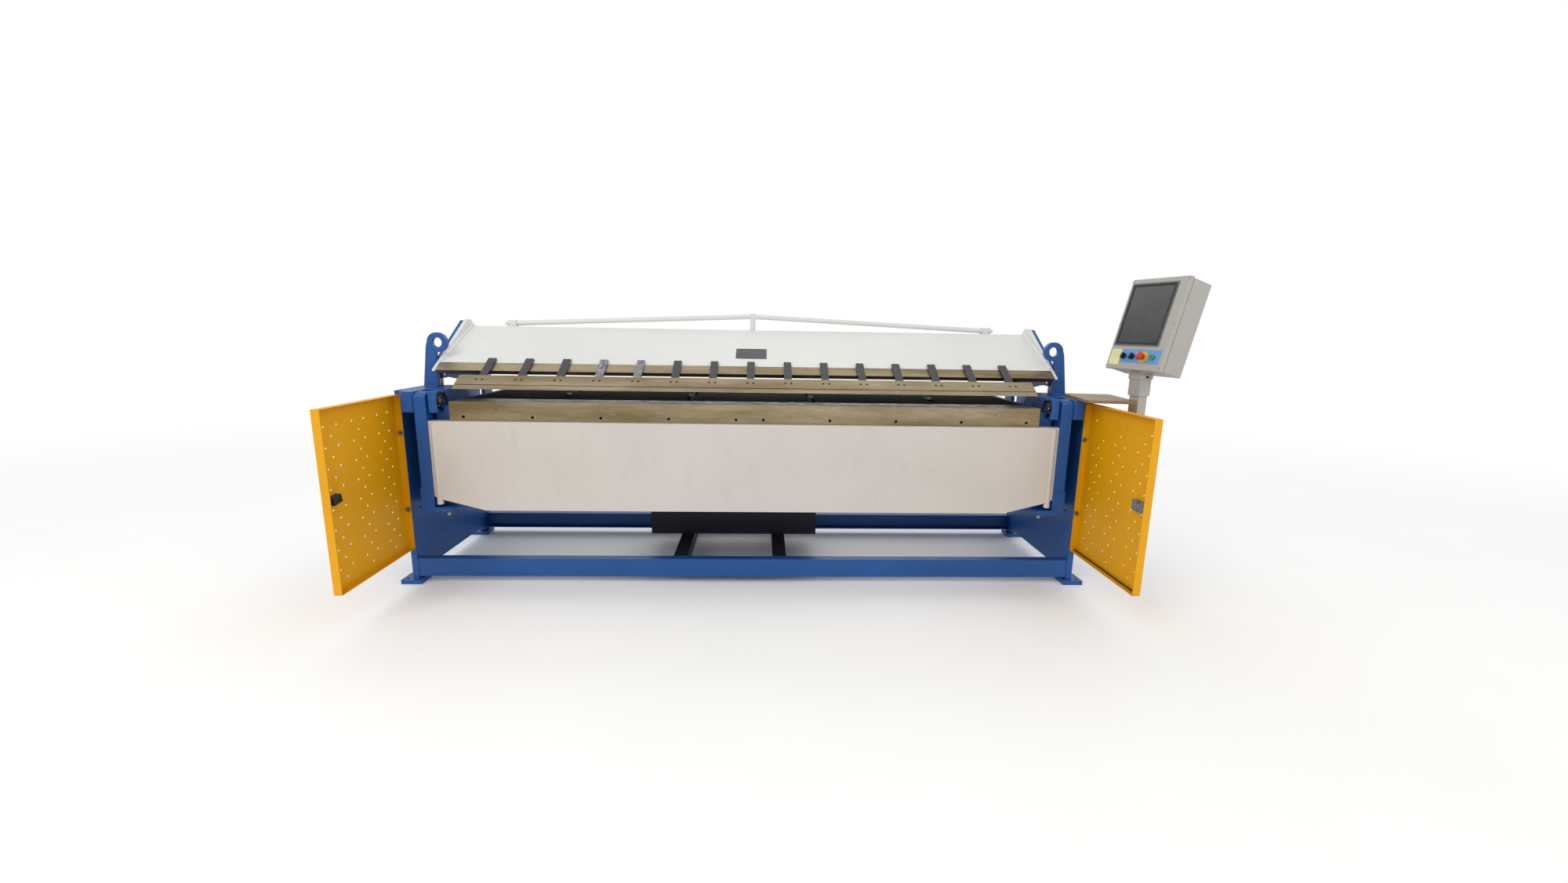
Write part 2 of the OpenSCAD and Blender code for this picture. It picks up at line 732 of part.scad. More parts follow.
// Box girder that carries the table blade, narrower where it passes the pivot housings
module lower_beam() {
  w = lower_beam_wall;
  z0 = fold_h - tblade_t - lower_beam_h;
  top = fold_h - tblade_t - 2;
  half = ear_in - 3;
  color("steelblue") difference() {
    union() {
      block([-web_in, beam_front_y, z0], [web_in, beam_front_y + lower_beam_d, housing_z - 2]);
      block([-half, beam_front_y, z0 + 10], [half, beam_front_y + lower_beam_d, top]);
    }
    block([-web_in - 1, beam_front_y + w, z0 + w], [web_in + 1, beam_front_y + lower_beam_d - w, housing_z - 2 - w]);
  }
}

module table_blade() {
  color("gray") block([-blade_end, beam_front_y - 2, fold_h - tblade_t - 2],
                      [blade_end, beam_front_y + tblade_d, fold_h]);
}

module rear_table_beam() {
  color("steelblue") difference() {
    block([-web_in, frame_depth - 90, module_top - module_h], [web_in, frame_depth - 25, plate_top - table_t]);
    block([-web_in - 1, frame_depth - 82, module_top - module_h + 8],
          [web_in + 1, frame_depth - 33, plate_top - table_t - 8]);
  }
}

module table_plate() {
  x1 = ear_in - 6;
  color("dimgray") difference() {
    union() {
      block([-x1, table_y, plate_top - table_t], [x1, frame_depth, plate_top]);
      block([-x1, table_y, fold_h - tblade_t - 2], [x1, beam_front_y + lower_beam_d, plate_top - table_t + 1]);
    }
    for (x = slots) block([x - slot_w / 2, slot_start, fold_h - tblade_t - 3], [x + slot_w / 2, frame_depth - 110, plate_top + 1]);
  }
}

// Ribbed mats between the gauge slots
module ribbed_mats() {
  edges = [-blade_end + 20, slots[0], slots[1], slots[2], slots[3], blade_end - 20];
  color("black") for (i = [0:len(edges) - 2]) {
    x0 = edges[i] + (i == 0 ? 0 : slot_w / 2);
    x1 = edges[i + 1] - (i == len(edges) - 2 ? 0 : slot_w / 2);
    n = floor((x1 - x0 - rib_w) / rib_pitch);
    first = x0 + (x1 - x0 - rib_w - n * rib_pitch) / 2;
    translate([0, frame_depth - 4, 0]) rotate([90, 0, 0]) linear_extrude(frame_depth - 4 - table_y) union() {
      translate([x0, plate_top]) square([x1 - x0, mat_t]);
      for (k = [0:n]) translate([first + k * rib_pitch, plate_top + mat_t - 0.5]) square([rib_w, rib_h + 0.5]);
    }
  }
}

// Closed belt module between the lower beam and the rear beam, with its motor behind
module gauge_module() {
  y0 = beam_front_y + lower_beam_d;
  block([module_x - module_w / 2, y0, module_top - module_h], [module_x + module_w / 2, frame_depth - 90, module_top]);
}
module gauge_modules() { color("silver") for (s = [-1, 1]) on_side(s) gauge_module(); }

gauge_bar_z = module_top + 0.4;
module gauge_beam() {
  color("dimgray") {
    for (s = [-1, 1]) on_side(s)
      block([module_x - 50, gauge_y + 40, gauge_bar_z], [module_x + 50, gauge_y + 160, gauge_bar_z + 16]);
    block([-slot_out - 60, gauge_y + 60, gauge_bar_z + 15], [slot_out + 60, gauge_y + 120, gauge_bar_z + 50]);
  }
}

// Stops that stand up through the table slots, with hooked heads over the mats
module gauge_fingers() {
  base = gauge_bar_z + 50;
  stem = slot_w / 2 - 5;
  color("gray") for (x = slots)
    translate([x - stem, 0, 0]) rotate([90, 0, 90]) linear_extrude(2 * stem) polygon([
      [gauge_y + 60, base], [gauge_y + 60, table_top + 3], [gauge_y, table_top + 3], [gauge_y, table_top + 16],
      [gauge_y + 30, table_top + 26], [gauge_y + 110, table_top + 26], [gauge_y + 120, table_top + 16],
      [gauge_y + 120, base]
    ]);
}

// ---------------------------------------------------------------- hydraulics

module oil_tank() {
  z0 = channel_top;
  color("midnightblue") {
    block([tank_x, tank_y, z0], [tank_x + tank_l, tank_y + tank_d, z0 + tank_h]);
    block([tank_x - 12, tank_y - 12, z0 + tank_h], [tank_x + tank_l + 12, tank_y + tank_d + 12, z0 + tank_h + 6]);
    translate([tank_x + 120, tank_y + 90, z0 + tank_h + 5]) cylinder(r = 40, h = 45);
  }
}

module pump_motor() {
  z0 = channel_top + tank_h + 6;
  r = 88;
  x0 = tank_x + 480;
  cy = tank_y + tank_d / 2;
  color("gray") {
    bar_x(x0, x0 + 300, cy, z0 + r + 14, r);
    bar_x(x0 - 60, x0 + 1, cy, z0 + r + 14, r * 0.55);
    bar_x(x0 + 299, x0 + 320, cy, z0 + r + 14, r - 14);
    for (x = [x0 + 30, x0 + 220]) block([x, cy - 70, z0], [x + 50, cy + 70, z0 + 40]);
    block([x0 + 90, cy - 45, z0 + 2 * r], [x0 + 200, cy + 45, z0 + 2 * r + 50]);
    block([x0 - 150, cy - 55, z0], [x0 - 60, cy + 55, z0 + 150]);
  }
}

// ---------------------------------------------------------------- guards and light barrier

// Folded tray: a perforated panel with rims, and a flange on the frame's front edge
module guard(toe) {
  t = sheet_t;
  z1 = guard_z + guard_h;
  rows = floor((guard_h - perf_top - perf_step / 2 - rim_w) / perf_step);
  difference() {
    union() {
      translate([panel_x, 0, guard_z]) rotate([0, 0, -toe]) linear_extrude(guard_h) union() {
        translate([-t, -guard_l]) square([t, guard_l - t / 2]);
        translate([-rim_w, -guard_l]) square([rim_w, t]);
      }
      for (z = [guard_z, z1 - t]) translate([panel_x, 0, z]) rotate([0, 0, -toe]) linear_extrude(t) polygon([
        [-t / 2, -t * 2.5], [-t / 2, -guard_l + t / 2], [-rim_w, -guard_l + t / 2], [-rim_w, -t * 2.5]
      ]);
      block([panel_x - rim_w, -t, guard_z], [panel_x, 0, z1]);
    }
    translate([panel_x, 0, 0]) rotate([0, 0, -toe])
      for (band = perf_bands, c = [-1:1], r = [0:rows])
        translate([-t - 1, -band - c * perf_half, z1 - perf_top - (c == 0 ? perf_step / 2 : 0) - r * perf_step])
          rotate([0, 90, 0]) cylinder(r = perf_r, h = t + 2, $fn = 16);
    for (z = bolt_zs) translate([bolt_x, -t - 1, z]) rotate([-90, 0, 0]) cylinder(r = 5.5, h = t + 2);
  }
}
bolt_x = plate_out - side_t / 2;
// each band of holes is a quincunx: two outer columns and one between them, half a step lower
perf_bands = [110, 300, 490];
perf_half = 42;
perf_top = 85;
perf_step = 94;
module left_guard() { color("goldenrod") on_side(-1) guard(left_toe); }
module right_guard() { color("goldenrod") on_side(1) guard(right_toe); }

module guard_bolts() {
  color("dimgray") for (s = [-1, 1], z = bolt_zs) on_side(s)
    translate([bolt_x, -sheet_t, z]) rotate([90, 0, 0]) cylinder(r = 9, h = 6, $fn = 6);
}

// Place on a guard's inner face: d along the guard from the frame, h above the floor
module on_guard(toe, d, h) {
  translate([panel_x, 0, 0]) rotate([0, 0, -toe]) translate([-sheet_t, -d, h]) children();
}

module light_reflector() {
  color("black") on_side(-1) on_guard(left_toe, guard_l - 60, 628) rotate([8, 0, 0])
    difference() {
      translate([-26, -27, -18]) cube([26, 54, 36]);
      translate([-27, -20, -12]) cube([3, 40, 24]);
    }
}

module light_sensor() {
  color("gray") on_side(1) on_guard(right_toe, guard_l - 60, 618) difference() {
    translate([-24, -46, -25]) cube([24, 92, 50]);
    for (z = [-25, 25]) translate([-25, -2, z]) rotate([0, 90, 0]) cylinder(r = 12, h = 14, $fn = 32);
    for (y = [-36, 36], z = [-15, 16]) translate([-25, y, z]) rotate([0, 90, 0]) cylinder(r = 3, h = 6, $fn = 16);
  }
}

// Lead clipped into the guard's corner: from the sensor down, then back along the lower rim
lead_r = 3.5;
lead_x = panel_x - sheet_t - 5;
lead_path = [
  [lead_x - 6, -561, 592.9], [lead_x - 6, -563, 570], [lead_x - 6, -569, 530], [lead_x - 6, -572, 470],
  [lead_x - 6, -574, 390], [lead_x - 6, -576, 340], [lead_x - 6, -577, 290], [lead_x - 6, -577, 250],
  [lead_x - 6, -572, 222], [lead_x - 6, -556, 208], [lead_x - 6, -520, 206.1], [lead_x - 6, -430, 206.1],
  [lead_x - 5, -320, 206.1], [lead_x - 4, -240, 206.1], [lead_x - 4, -160, 206.1], [lead_x - 4, -90, 206.1],
  [lead_x - 4, -40, 206.1], [lead_x - 4, -3, 206.1]
];
function unit(v) = v / norm(v);
function lead_dir(i) = unit(lead_path[min(i + 1, len(lead_path) - 1)] - lead_path[max(i - 1, 0)]);
function lead_ring(i) = let (d = lead_dir(i), a = [1, 0, 0], b = unit(cross(d, a)), c = cross(b, d))
  [for (k = [0:7]) lead_path[i] + lead_r * (cos(45 * k) * b + sin(45 * k) * c)];
module sensor_lead() {
  n = len(lead_path);
  color("black") polyhedron(
    points = [for (i = [0:n - 1]) each lead_ring(i)],
    faces = concat(
      [[for (k = [0:7]) k]], [[for (k = [7:-1:0]) 8 * (n - 1) + k]],
      [for (i = [0:n - 2], k = [0:7]) [8 * i + k, 8 * (i + 1) + k, 8 * (i + 1) + (k + 1) % 8, 8 * i + (k + 1) % 8]]
    ), convexity = 8);
}

// Loose board that lies on the right pivot housing
// Loose board, lying on the frame's top or on the guard, whichever is higher
module tool_board() {
  color("tan") translate([outer_in + 153, -20, max(frame_top, guard_z + guard_h)]) rotate([0, 0, -8]) linear_extrude(14) union() {
    square([250, 324], center = true);
    square([214, 360], center = true);
    for (x = [-107, 107], y = [-162, 162]) translate([x, y]) circle(r = 18, $fn = 32);
  }
}

// ---------------------------------------------------------------- console

module console_bracket() {
  color("steelblue") {
    translate([0, 0, bracket_z]) linear_extrude(bracket_t) polygon([
      [plate_out, 10], [plate_out, 120], [post_x + 10, 120], [post_x + 50, 80],
      [post_x + 50, post_y - 50], [post_x - 50, post_y - 50], [post_x - 50, 10]
    ]);
    plate_y(55, 14, [[plate_out, bracket_z + 1], [plate_out, bracket_z - 130], [post_x - 30, bracket_z + 1]]);
  }
}

// Square post with a round spigot on top
module console_post() {
  color("gainsboro") translate([post_x, post_y, 0]) {
    rotate([0, 0, console_turn]) difference() {
      translate([-post_w / 2, -post_w / 2, bracket_z + bracket_t]) cube([post_w, post_w, post_top - bracket_z - bracket_t]);
      translate([0, 0, bracket_z + bracket_t + 8]) cylinder(r = post_w / 2 - 8, h = 120);
    }
    translate([0, 0, post_top - 1]) cylinder(r = spigot_r, h = 80);
  }
}

module console_sleeve() {
  color("gainsboro") translate([post_x, post_y, 0]) rotate([0, 0, console_turn]) difference() {
    union() {
      translate([-sleeve_w / 2, -sleeve_w / 2, post_top + 0.5]) cube([sleeve_w, sleeve_w, sleeve_top - post_top - 24.5]);
      translate([-sleeve_w / 2 - 4, -sleeve_w / 2 - 4, sleeve_top - 25]) cube([sleeve_w + 8, sleeve_w + 8, 25]);
    }
    translate([0, 0, post_top - 1]) cylinder(r = spigot_r + run_clear, h = 84);
  }
}

// Frame of the case: x across, y from the front face back, z up along the lean
module at_case() {
  translate([post_x, post_y, case_z]) rotate([0, 0, console_turn]) rotate([-console_lean, 0, 0]) children();
}
// Place on the front face: x from its left edge, z from its lower edge
module on_face(x, z) { at_case() translate([x - case_w / 2, -case_d / 2, z]) children(); }

// Upright box with rounded vertical edges
module soft_box(w, d, h, r) {
  linear_extrude(h) union() {
    translate([-w / 2 + r, 0]) square([w - 2 * r, d]);
    translate([-w / 2, r]) square([w, d - 2 * r]);
    for (x = [-w / 2 + r, w / 2 - r], y = [r, d - r]) translate([x, y]) circle(r = r, $fn = 32);
  }
}

module console_case() {
  color("gainsboro") difference() {
    union() {
      at_case() translate([0, -case_d / 2 + cover_d + 3, 4]) soft_box(case_w - 8, case_d - cover_d - 3, case_h - 8, 5);
      at_case() translate([0, -case_d / 2 + cover_d + 0.02, 8]) soft_box(case_w - 18, 10, case_h - 16, 4);
      // foot block between the leaning case and the level sleeve
      translate([post_x, post_y, sleeve_top]) rotate([0, 0, console_turn]) translate([-sleeve_w / 2, -sleeve_w / 2, 0]) cube([sleeve_w, sleeve_w, 34]);
    }
  }
}

module console_cover() {
  color("whitesmoke") at_case() translate([0, -case_d / 2, 0]) difference() {
    soft_box(case_w, cover_d, case_h, 8);
    translate([-case_w / 2 + 15 - 0.3, -1, case_h - 23 - screen_h - 0.3]) cube([screen_w + 0.6, 9, screen_h + 0.6]);
    for (p = button_places) translate([p - case_w / 2, -1, button_h]) rotate([-90, 0, 0]) cylinder(r = stem_r + run_clear, h = 23);
  }
}
stem_r = 11;
button_places = [0.30 * case_w, 0.45 * case_w, 0.645 * case_w, 0.81 * case_w];

module touch_screen() {
  color("black") on_face(15, case_h - 23 - screen_h) translate([0, -1.5, 0]) difference() {
    cube([screen_w, 9, screen_h]);
    translate([18, -1, 18]) cube([screen_w - 36, 2.2, screen_h - 36]);
  }
}

// Round part set on the face with its axis along the face's normal
module knob(p, out, r) {
  on_face(button_places[p], button_h) rotate([90, 0, 0]) translate([0, 0, out[0]]) cylinder(r = r, h = out[1] - out[0]);
}

module stop_button() {
  color("red") {
    knob(2, [-13, 22], stem_r);
    knob(2, [21, 34], 20);
  }
}

module stop_collar() {
  color("gold") difference() {
    knob(2, [0, 3], 30);
    knob(2, [-1, 4], stem_r + 1);
  }
}

// Selector: a round base with a raised grip
module selector(p) {
  color("black") {
    knob(p, [-13, 1], stem_r);
    knob(p, [0.5, 9], 15);
    on_face(button_places[p], button_h) translate([-5, -22, -15]) cube([10, 14, 30]);
  }
}
module left_selector() { selector(0); }
module right_selector() { selector(1); }

module start_button() {
  color("seagreen") {
    knob(3, [-13, 4], stem_r);
    knob(3, [4, 8], 14);
  }
}

left_side_frame();
right_side_frame();
left_pivot_housing();
right_pivot_housing();
pivot_actuators();
left_frame_box();
right_frame_box();
front_channel();
rear_channel();
tank_rails();
lower_beam();
rear_table_beam();
table_plate();
ribbed_mats();
table_blade();
oil_tank();
pump_motor();
left_guard();
right_guard();
guard_bolts();
light_reflector();
light_sensor();
sensor_lead();
tool_board();
console_bracket();
console_post();
left_clamp_cylinder();
right_clamp_cylinder();
gauge_modules();
clamp_pins();
clamp_beam();
left_end_plate();
right_end_plate();
left_clamp_arm();
right_clamp_arm();
holder_bar();
clamp_fingers();
nose_blade();
truss_rod();
left_clamp_rod();
right_clamp_rod();
folding_beam();
folding_blade();
left_folding_arm();
right_folding_arm();
left_arm_foot();
right_arm_foot();
left_pivot_shaft();
right_pivot_shaft();
gauge_beam();
gauge_fingers();
console_sleeve();
console_case();
console_cover();
touch_screen();
stop_button();
stop_collar();
left_selector();
right_selector();
start_button();
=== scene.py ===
# %% [markdown]
# # Sheet metal folding machine
# A folder bends sheet metal along a straight line. The sheet lies on a ribbed table, a hinged clamping beam
# holds it down with a wedge-shaped nose, and a folding beam in front swings up round the edge. Guards, a
# console and a hydraulic unit complete it.
#
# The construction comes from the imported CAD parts. This script gives every part its real finish and adds
# what the CAD leaves out: weld beads, screws, bearing rings, the console's plates and the hydraulic
# fittings. Lengths are in metres: X runs along the fold line, Y to the back, Z up.

# %% Load the frame
import json
import math
import bpy
import numpy as np
from mathutils import Matrix, Vector


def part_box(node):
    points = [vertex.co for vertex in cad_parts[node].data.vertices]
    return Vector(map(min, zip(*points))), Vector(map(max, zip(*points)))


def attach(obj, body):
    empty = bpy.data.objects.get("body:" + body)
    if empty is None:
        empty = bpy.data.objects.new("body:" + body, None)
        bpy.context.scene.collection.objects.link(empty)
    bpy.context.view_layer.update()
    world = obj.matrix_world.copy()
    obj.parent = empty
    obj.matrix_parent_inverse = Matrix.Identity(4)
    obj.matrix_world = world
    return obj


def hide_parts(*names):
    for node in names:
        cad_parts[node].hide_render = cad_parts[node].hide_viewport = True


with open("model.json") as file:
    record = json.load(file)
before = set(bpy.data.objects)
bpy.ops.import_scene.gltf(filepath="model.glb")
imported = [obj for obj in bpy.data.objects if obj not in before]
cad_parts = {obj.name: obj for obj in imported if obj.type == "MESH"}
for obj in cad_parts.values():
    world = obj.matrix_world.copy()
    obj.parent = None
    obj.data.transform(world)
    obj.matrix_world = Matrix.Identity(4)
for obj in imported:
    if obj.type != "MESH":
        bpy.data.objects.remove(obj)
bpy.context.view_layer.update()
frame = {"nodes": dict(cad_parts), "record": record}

# %% [markdown]
# ## Blocks and rings
# Bars, slabs and labels are blocks with eight corners, and whatever is turned or drawn is a stack of rings.
# They could be made with primitives and booleans, but then each of the many screws would be an operator
# call. Here a shape is an array of points and a list of face arrays, so it is computed at once and shapes
# join by adding.

# %% Blocks and rings
BLOCK_FACES = np.array([(0, 3, 2, 1), (4, 5, 6, 7), (0, 1, 5, 4), (1, 2, 6, 5), (2, 3, 7, 6), (3, 0, 4, 7)])


def eight_corners(corners):
    """Closed block: four corners anticlockwise as seen from the far side, then the four over them."""
    return np.array(corners, float), [BLOCK_FACES]


def block(low, high):
    """Box between two opposite corners: each corner takes the low or the high value on every axis."""
    (x0, y0, z0), (x1, y1, z1) = low, high
    return eight_corners([(x, y, z) for z in (z0, z1) for x, y in ((x0, y0), (x1, y0), (x1, y1), (x0, y1))])


def rings(points, loop=False):
    """Skin over an array of rings, shape (rings, steps, 3): point k of ring i, point k + 1 of ring i and the
    same two of ring i + 1 make a face. A face closes each end, or a loop joins the last ring to the first."""
    count, steps = points.shape[:2]
    grid = np.arange(count * steps).reshape(count, steps)
    ends = [] if loop else [grid[:1, ::-1], grid[-1:]]
    if loop:
        grid = np.vstack([grid, grid[:1]])
    turned = np.roll(grid, -1, axis=1)
    skin = np.stack([grid[:-1], turned[:-1], turned[1:], grid[1:]], axis=-1).reshape(-1, 4)
    return points.reshape(-1, 3), [skin] + ends


def join(shapes):
    """Several shapes as one: the points in a row, and every face number raised by the points before it."""
    shapes = list(shapes)
    starts = np.cumsum([0] + [len(points) for points, _ in shapes])
    faces = [group + start for (_, groups), start in zip(shapes, starts) for group in groups]
    return np.concatenate([points for points, _ in shapes]), faces


def both(make):
    """Joins what make(side) gives for the left end, side -1, and for the right end, side 1."""
    return join([shape for side in (-1, 1) for shape in make(side)])


print("a block has", len(BLOCK_FACES), "faces")

# %% [markdown]
# ## Turned pieces
# Rings, dowels, rivets and buttons are turned on a lathe, so they are made in the same way: a half profile
# goes round an axis. A Screw modifier would do it for one piece, but a formula also places it and turns it
# to any axis.

# %% Turned pieces
def directions(axis):
    """Unit vectors p and q across the axis and a along it, right-handed: p = axis x up, q = a x p."""
    a = np.array(axis, float) / np.linalg.norm(axis)
    p = np.cross(a, (0.0, 0.0, 1.0) if abs(a[2]) < 0.9 else (1.0, 0.0, 0.0))
    p /= np.linalg.norm(p)
    return p, np.cross(a, p), a


def circle(axis, steps):
    """Angles t round the axis, the unit circle cos(t) p + sin(t) q at them, and the axis as a unit vector."""
    p, q, a = directions(axis)
    t = np.linspace(0, 2 * np.pi, steps, endpoint=False)
    return t, np.cos(t)[:, None] * p + np.sin(t)[:, None] * q, a


def lathe(profile, centre, axis, steps=32, loop=False):
    """Turns (radius r, height h) pairs: P(t) = centre + r (cos(t) p + sin(t) q) + h a."""
    _, round_points, a = circle(axis, steps)
    r, h = np.array(profile, float).T
    return rings(np.array(centre, float) + r[:, None, None] * round_points + h[:, None, None] * a, loop)


print("lathe ready")

# %% [markdown]
# ## Screw heads
# Hexagon screws hold what is taken off with a spanner, and socket screws sit where there is no room for
# one. A head could be a cylinder cut by a boolean. Here its rings change from a hexagon to a circle, which
# gives the turned chamfer of a real head and a true socket, with few faces.

# %% Screw heads
SIXTH = math.pi / 3


def hexagon(r, t):
    """Distance from the centre to a hexagon's side at angle t: r cos(30) / cos((t mod 60) - 30)."""
    return r * math.cos(SIXTH / 2) / np.cos((t % SIXTH) - SIXTH / 2)


def hex_head(centre, axis, r, h, steps=36):
    """Head of corner radius r and height h: a prism up to 0.8 h, then its corners turned down to 0.82 r."""
    t, round_points, a = circle(axis, steps)
    sides = hexagon(r, t)[:, None] * round_points
    chamfer = np.minimum(hexagon(r, t), 0.95 * r)[:, None] * round_points
    levels = [sides, sides + 0.8 * h * a, chamfer + 0.9 * h * a, 0.82 * r * round_points + h * a]
    return rings(np.array(levels) + np.array(centre, float))


def socket_head(centre, axis, r, h, steps=36):
    """Round head of radius r and height h, with a rounded rim at 0.9 r and a hexagonal socket 0.55 h deep."""
    t, round_points, a = circle(axis, steps)
    rim = r * round_points
    socket = hexagon(0.58 * r, t)[:, None] * round_points
    outside = [rim, rim + 0.88 * h * a, 0.9 * rim + h * a]
    inside = [socket + h * a, socket * 0.98 + 0.45 * h * a, 0.05 * rim + 0.35 * h * a]
    return rings(np.array(outside + inside) + np.array(centre, float))


print("a hexagon of radius 10 is", round(20 * math.cos(SIXTH / 2), 2), "across its flats")

# %% [markdown]
# ## Tubes and weld beads
# Ribs, glass tubes and weld beads are round strips that run straight. A curve with a bevel could carry
# them, but a bead swells and shrinks with every pass of the torch, and that is easier as a radius that
# changes along the path.

# %% Tubes and weld beads
RIPPLE = 0.006
POINTS_PER_RIPPLE = 3


def sweep(path, radius, steps=8):
    """Tube along a straight path: P(i, t) = path(i) + radius(i) (cos(t) side + sin(t) up), with side and up
    across the direction. The radius is one value, or one for each point."""
    path = np.array(path, float)
    ahead = np.gradient(path, axis=0)
    ahead /= np.linalg.norm(ahead, axis=1)[:, None]
    side = np.cross(ahead, (0.0, 0.0, 1.0) if abs(ahead[0][2]) < 0.9 else (1.0, 0.0, 0.0))
    side /= np.linalg.norm(side, axis=1)[:, None]
    up = np.cross(ahead, side)
    t = np.linspace(0, 2 * np.pi, steps, endpoint=False)[:, None]
    wide = np.broadcast_to(radius, len(path))[:, None, None]
    return rings(path[:, None] + wide * (np.cos(t) * side[:, None] + np.sin(t) * up[:, None]))


def weld(start_point, end_point, radius=0.004):
    """Bead along a line of length L: at s from 0 to L the radius is r (1 + 0.14 sin(2 pi s / ripple) +
    0.05 sin(71 s)), so scales of a hand-made pass lie over a slower change of width."""
    a, b = np.array(start_point, float), np.array(end_point, float)
    length = np.linalg.norm(b - a)
    count = max(int(length / RIPPLE * POINTS_PER_RIPPLE), 6)
    share = np.linspace(0, 1, count)
    s = share * length
    width = radius * (1 + 0.14 * np.sin(2 * np.pi * s / RIPPLE) + 0.05 * np.sin(71 * s))
    return sweep(a + share[:, None] * (b - a), width, 6)


print("a bead has", round(1 / RIPPLE), "ripples in a metre")

# %% [markdown]
# ## Making a piece
# A piece is one mesh object with one finish. It stands at the origin with its place in its points, as the
# CAD parts do, so that patterns in object coordinates fit both. Then it is tied to the body that it moves
# with.

# %% Making a piece
SHARP = math.radians(38)
finishes = {}


def piece(name, shape, body, finish, smooth=False, bevel=0.0):
    """Makes a mesh from a shape, gives it a finish and lets it ride on a body."""
    points, groups = shape
    mesh = bpy.data.meshes.new(name)
    mesh.from_pydata(points.tolist(), [], [face for group in groups for face in group.tolist()])
    mesh.update()
    mesh.materials.append(finishes[finish])
    obj = bpy.data.objects.new(name, mesh)
    bpy.context.collection.objects.link(obj)
    if smooth:
        mesh.polygons.foreach_set("use_smooth", np.ones(len(mesh.polygons), bool))
        mesh.set_sharp_from_angle(angle=SHARP)
    if bevel:
        edge = obj.modifiers.new("edge", "BEVEL")
        edge.width, edge.segments, edge.limit_method = bevel, 2, "ANGLE"
    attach(obj, body)
    return obj


print("pieces keep an edge sharp above", round(math.degrees(SHARP)), "degrees")

# %% [markdown]
# ## Colours and nodes
# A finish is a node tree on one surface shader. Colours are written as the hex values that a paint card
# shows, and one function makes them linear. One function adds any node, so that a tree reads like a recipe.

# %% Colours and nodes
def lin(code):
    """sRGB hex to linear RGBA: c / 12.92 up to 0.04045, and ((c + 0.055) / 1.055) ^ 2.4 above it."""
    shares = [int(code[i:i + 2], 16) / 255 for i in (0, 2, 4)]
    return tuple(c / 12.92 if c <= 0.04045 else ((c + 0.055) / 1.055) ** 2.4 for c in shares) + (1.0,)


def add(tree, kind, inputs=(), **settings):
    """Adds a shader node, sets its properties, and fills or links its inputs."""
    node = tree.nodes.new("ShaderNode" + kind)
    for key, value in settings.items():
        setattr(node, key, value)
    for key, value in dict(inputs).items():
        if isinstance(value, bpy.types.NodeSocket):
            tree.links.new(value, node.inputs[key])
        else:
            node.inputs[key].default_value = value
    return node


def start(name):
    """New material: its tree, its shader and the object coordinates."""
    material = bpy.data.materials.new(name)
    material.use_nodes = True
    tree = material.node_tree
    shader = next(node for node in tree.nodes if node.type == "BSDF_PRINCIPLED")
    return material, tree, shader, add(tree, "TexCoord").outputs["Object"]


print("mid grey 808080 is", round(lin("808080")[0], 3), "linear")

# %% [markdown]
# ## Patterns
# Dirt, grain and changes of tone come from noise whose scale is worked out from a real size in millimetres.
# Image textures would show more at once, but they need files and seams, and noise runs through the whole
# solid.

# %% Patterns
def stretch(tree, coords, scale, turn=0.0):
    """Coordinates scaled along each axis, after a turn about Z: a small scale draws the pattern out."""
    return add(tree, "Mapping", {"Vector": coords, "Scale": scale, "Rotation": (0, 0, turn)}).outputs[0]


def noise(tree, coords, size, detail=4.0, rough=0.55):
    """Noise whose features are about size millimetres, so 1000 / size of them fit in a metre."""
    settings = {"Vector": coords, "Scale": 1000 / size, "Detail": detail, "Roughness": rough}
    return add(tree, "TexNoise", settings).outputs["Fac"]


def remap(tree, value, a, b, c, d, curve="LINEAR"):
    """Maps a..b to c..d and holds it at both ends."""
    settings = {"Value": value, "From Min": a, "From Max": b, "To Min": c, "To Max": d}
    return add(tree, "MapRange", settings, interpolation_type=curve).outputs[0]


def calc(tree, operation, a, b):
    """One sum on two values, held between 0 and 1."""
    return add(tree, "Math", {0: a, 1: b}, operation=operation, use_clamp=True).outputs[0]


def blend(tree, share, a, b):
    """Colour a where share is 0 and b where it is 1."""
    return add(tree, "MixRGB", {"Fac": share, "Color1": a, "Color2": b}).outputs[0]


print("noise of 70 mm has scale", round(1000 / 70, 2))

# %% [markdown]
# ## Worn edges and skins
# Real edges are never sharp, and paint goes from them first. Chamfers in the mesh would cost many faces, so
# the Bevel node rounds the shading instead. Where that rounded normal leaves the true one there is an edge,
# and noise breaks the edge up into knocks.

# %% Worn edges and skins
KNOCK = 30


def rounded(tree, radius):
    """Normal of the surface with its edges rounded over radius millimetres."""
    return add(tree, "Bevel", {"Radius": radius / 1000}, samples=4).outputs[0]


def edges(tree, coords, radius, low, high):
    """Mask of worn edges: 1 - rounded normal . true normal, times noise remapped from low..high."""
    flat = add(tree, "NewGeometry").outputs["Normal"]
    pair = {0: rounded(tree, radius), 1: flat}
    same = add(tree, "VectorMath", pair, operation="DOT_PRODUCT").outputs["Value"]
    turned = calc(tree, "SUBTRACT", 1.0, same)
    knocks = remap(tree, noise(tree, coords, KNOCK, 6), low, high, 0, 1)
    return calc(tree, "MULTIPLY", remap(tree, turned, 0.01, 0.12, 0.0, 1.0), knocks)


def skin(tree, shader, height, depth, strength, radius):
    """Gives the shader a bump depth millimetres deep, on edges rounded over radius millimetres."""
    inputs = {"Height": height, "Distance": depth / 1000, "Strength": strength}
    inputs["Normal"] = rounded(tree, radius)
    tree.links.new(add(tree, "Bump", inputs).outputs[0], shader.inputs["Normal"])


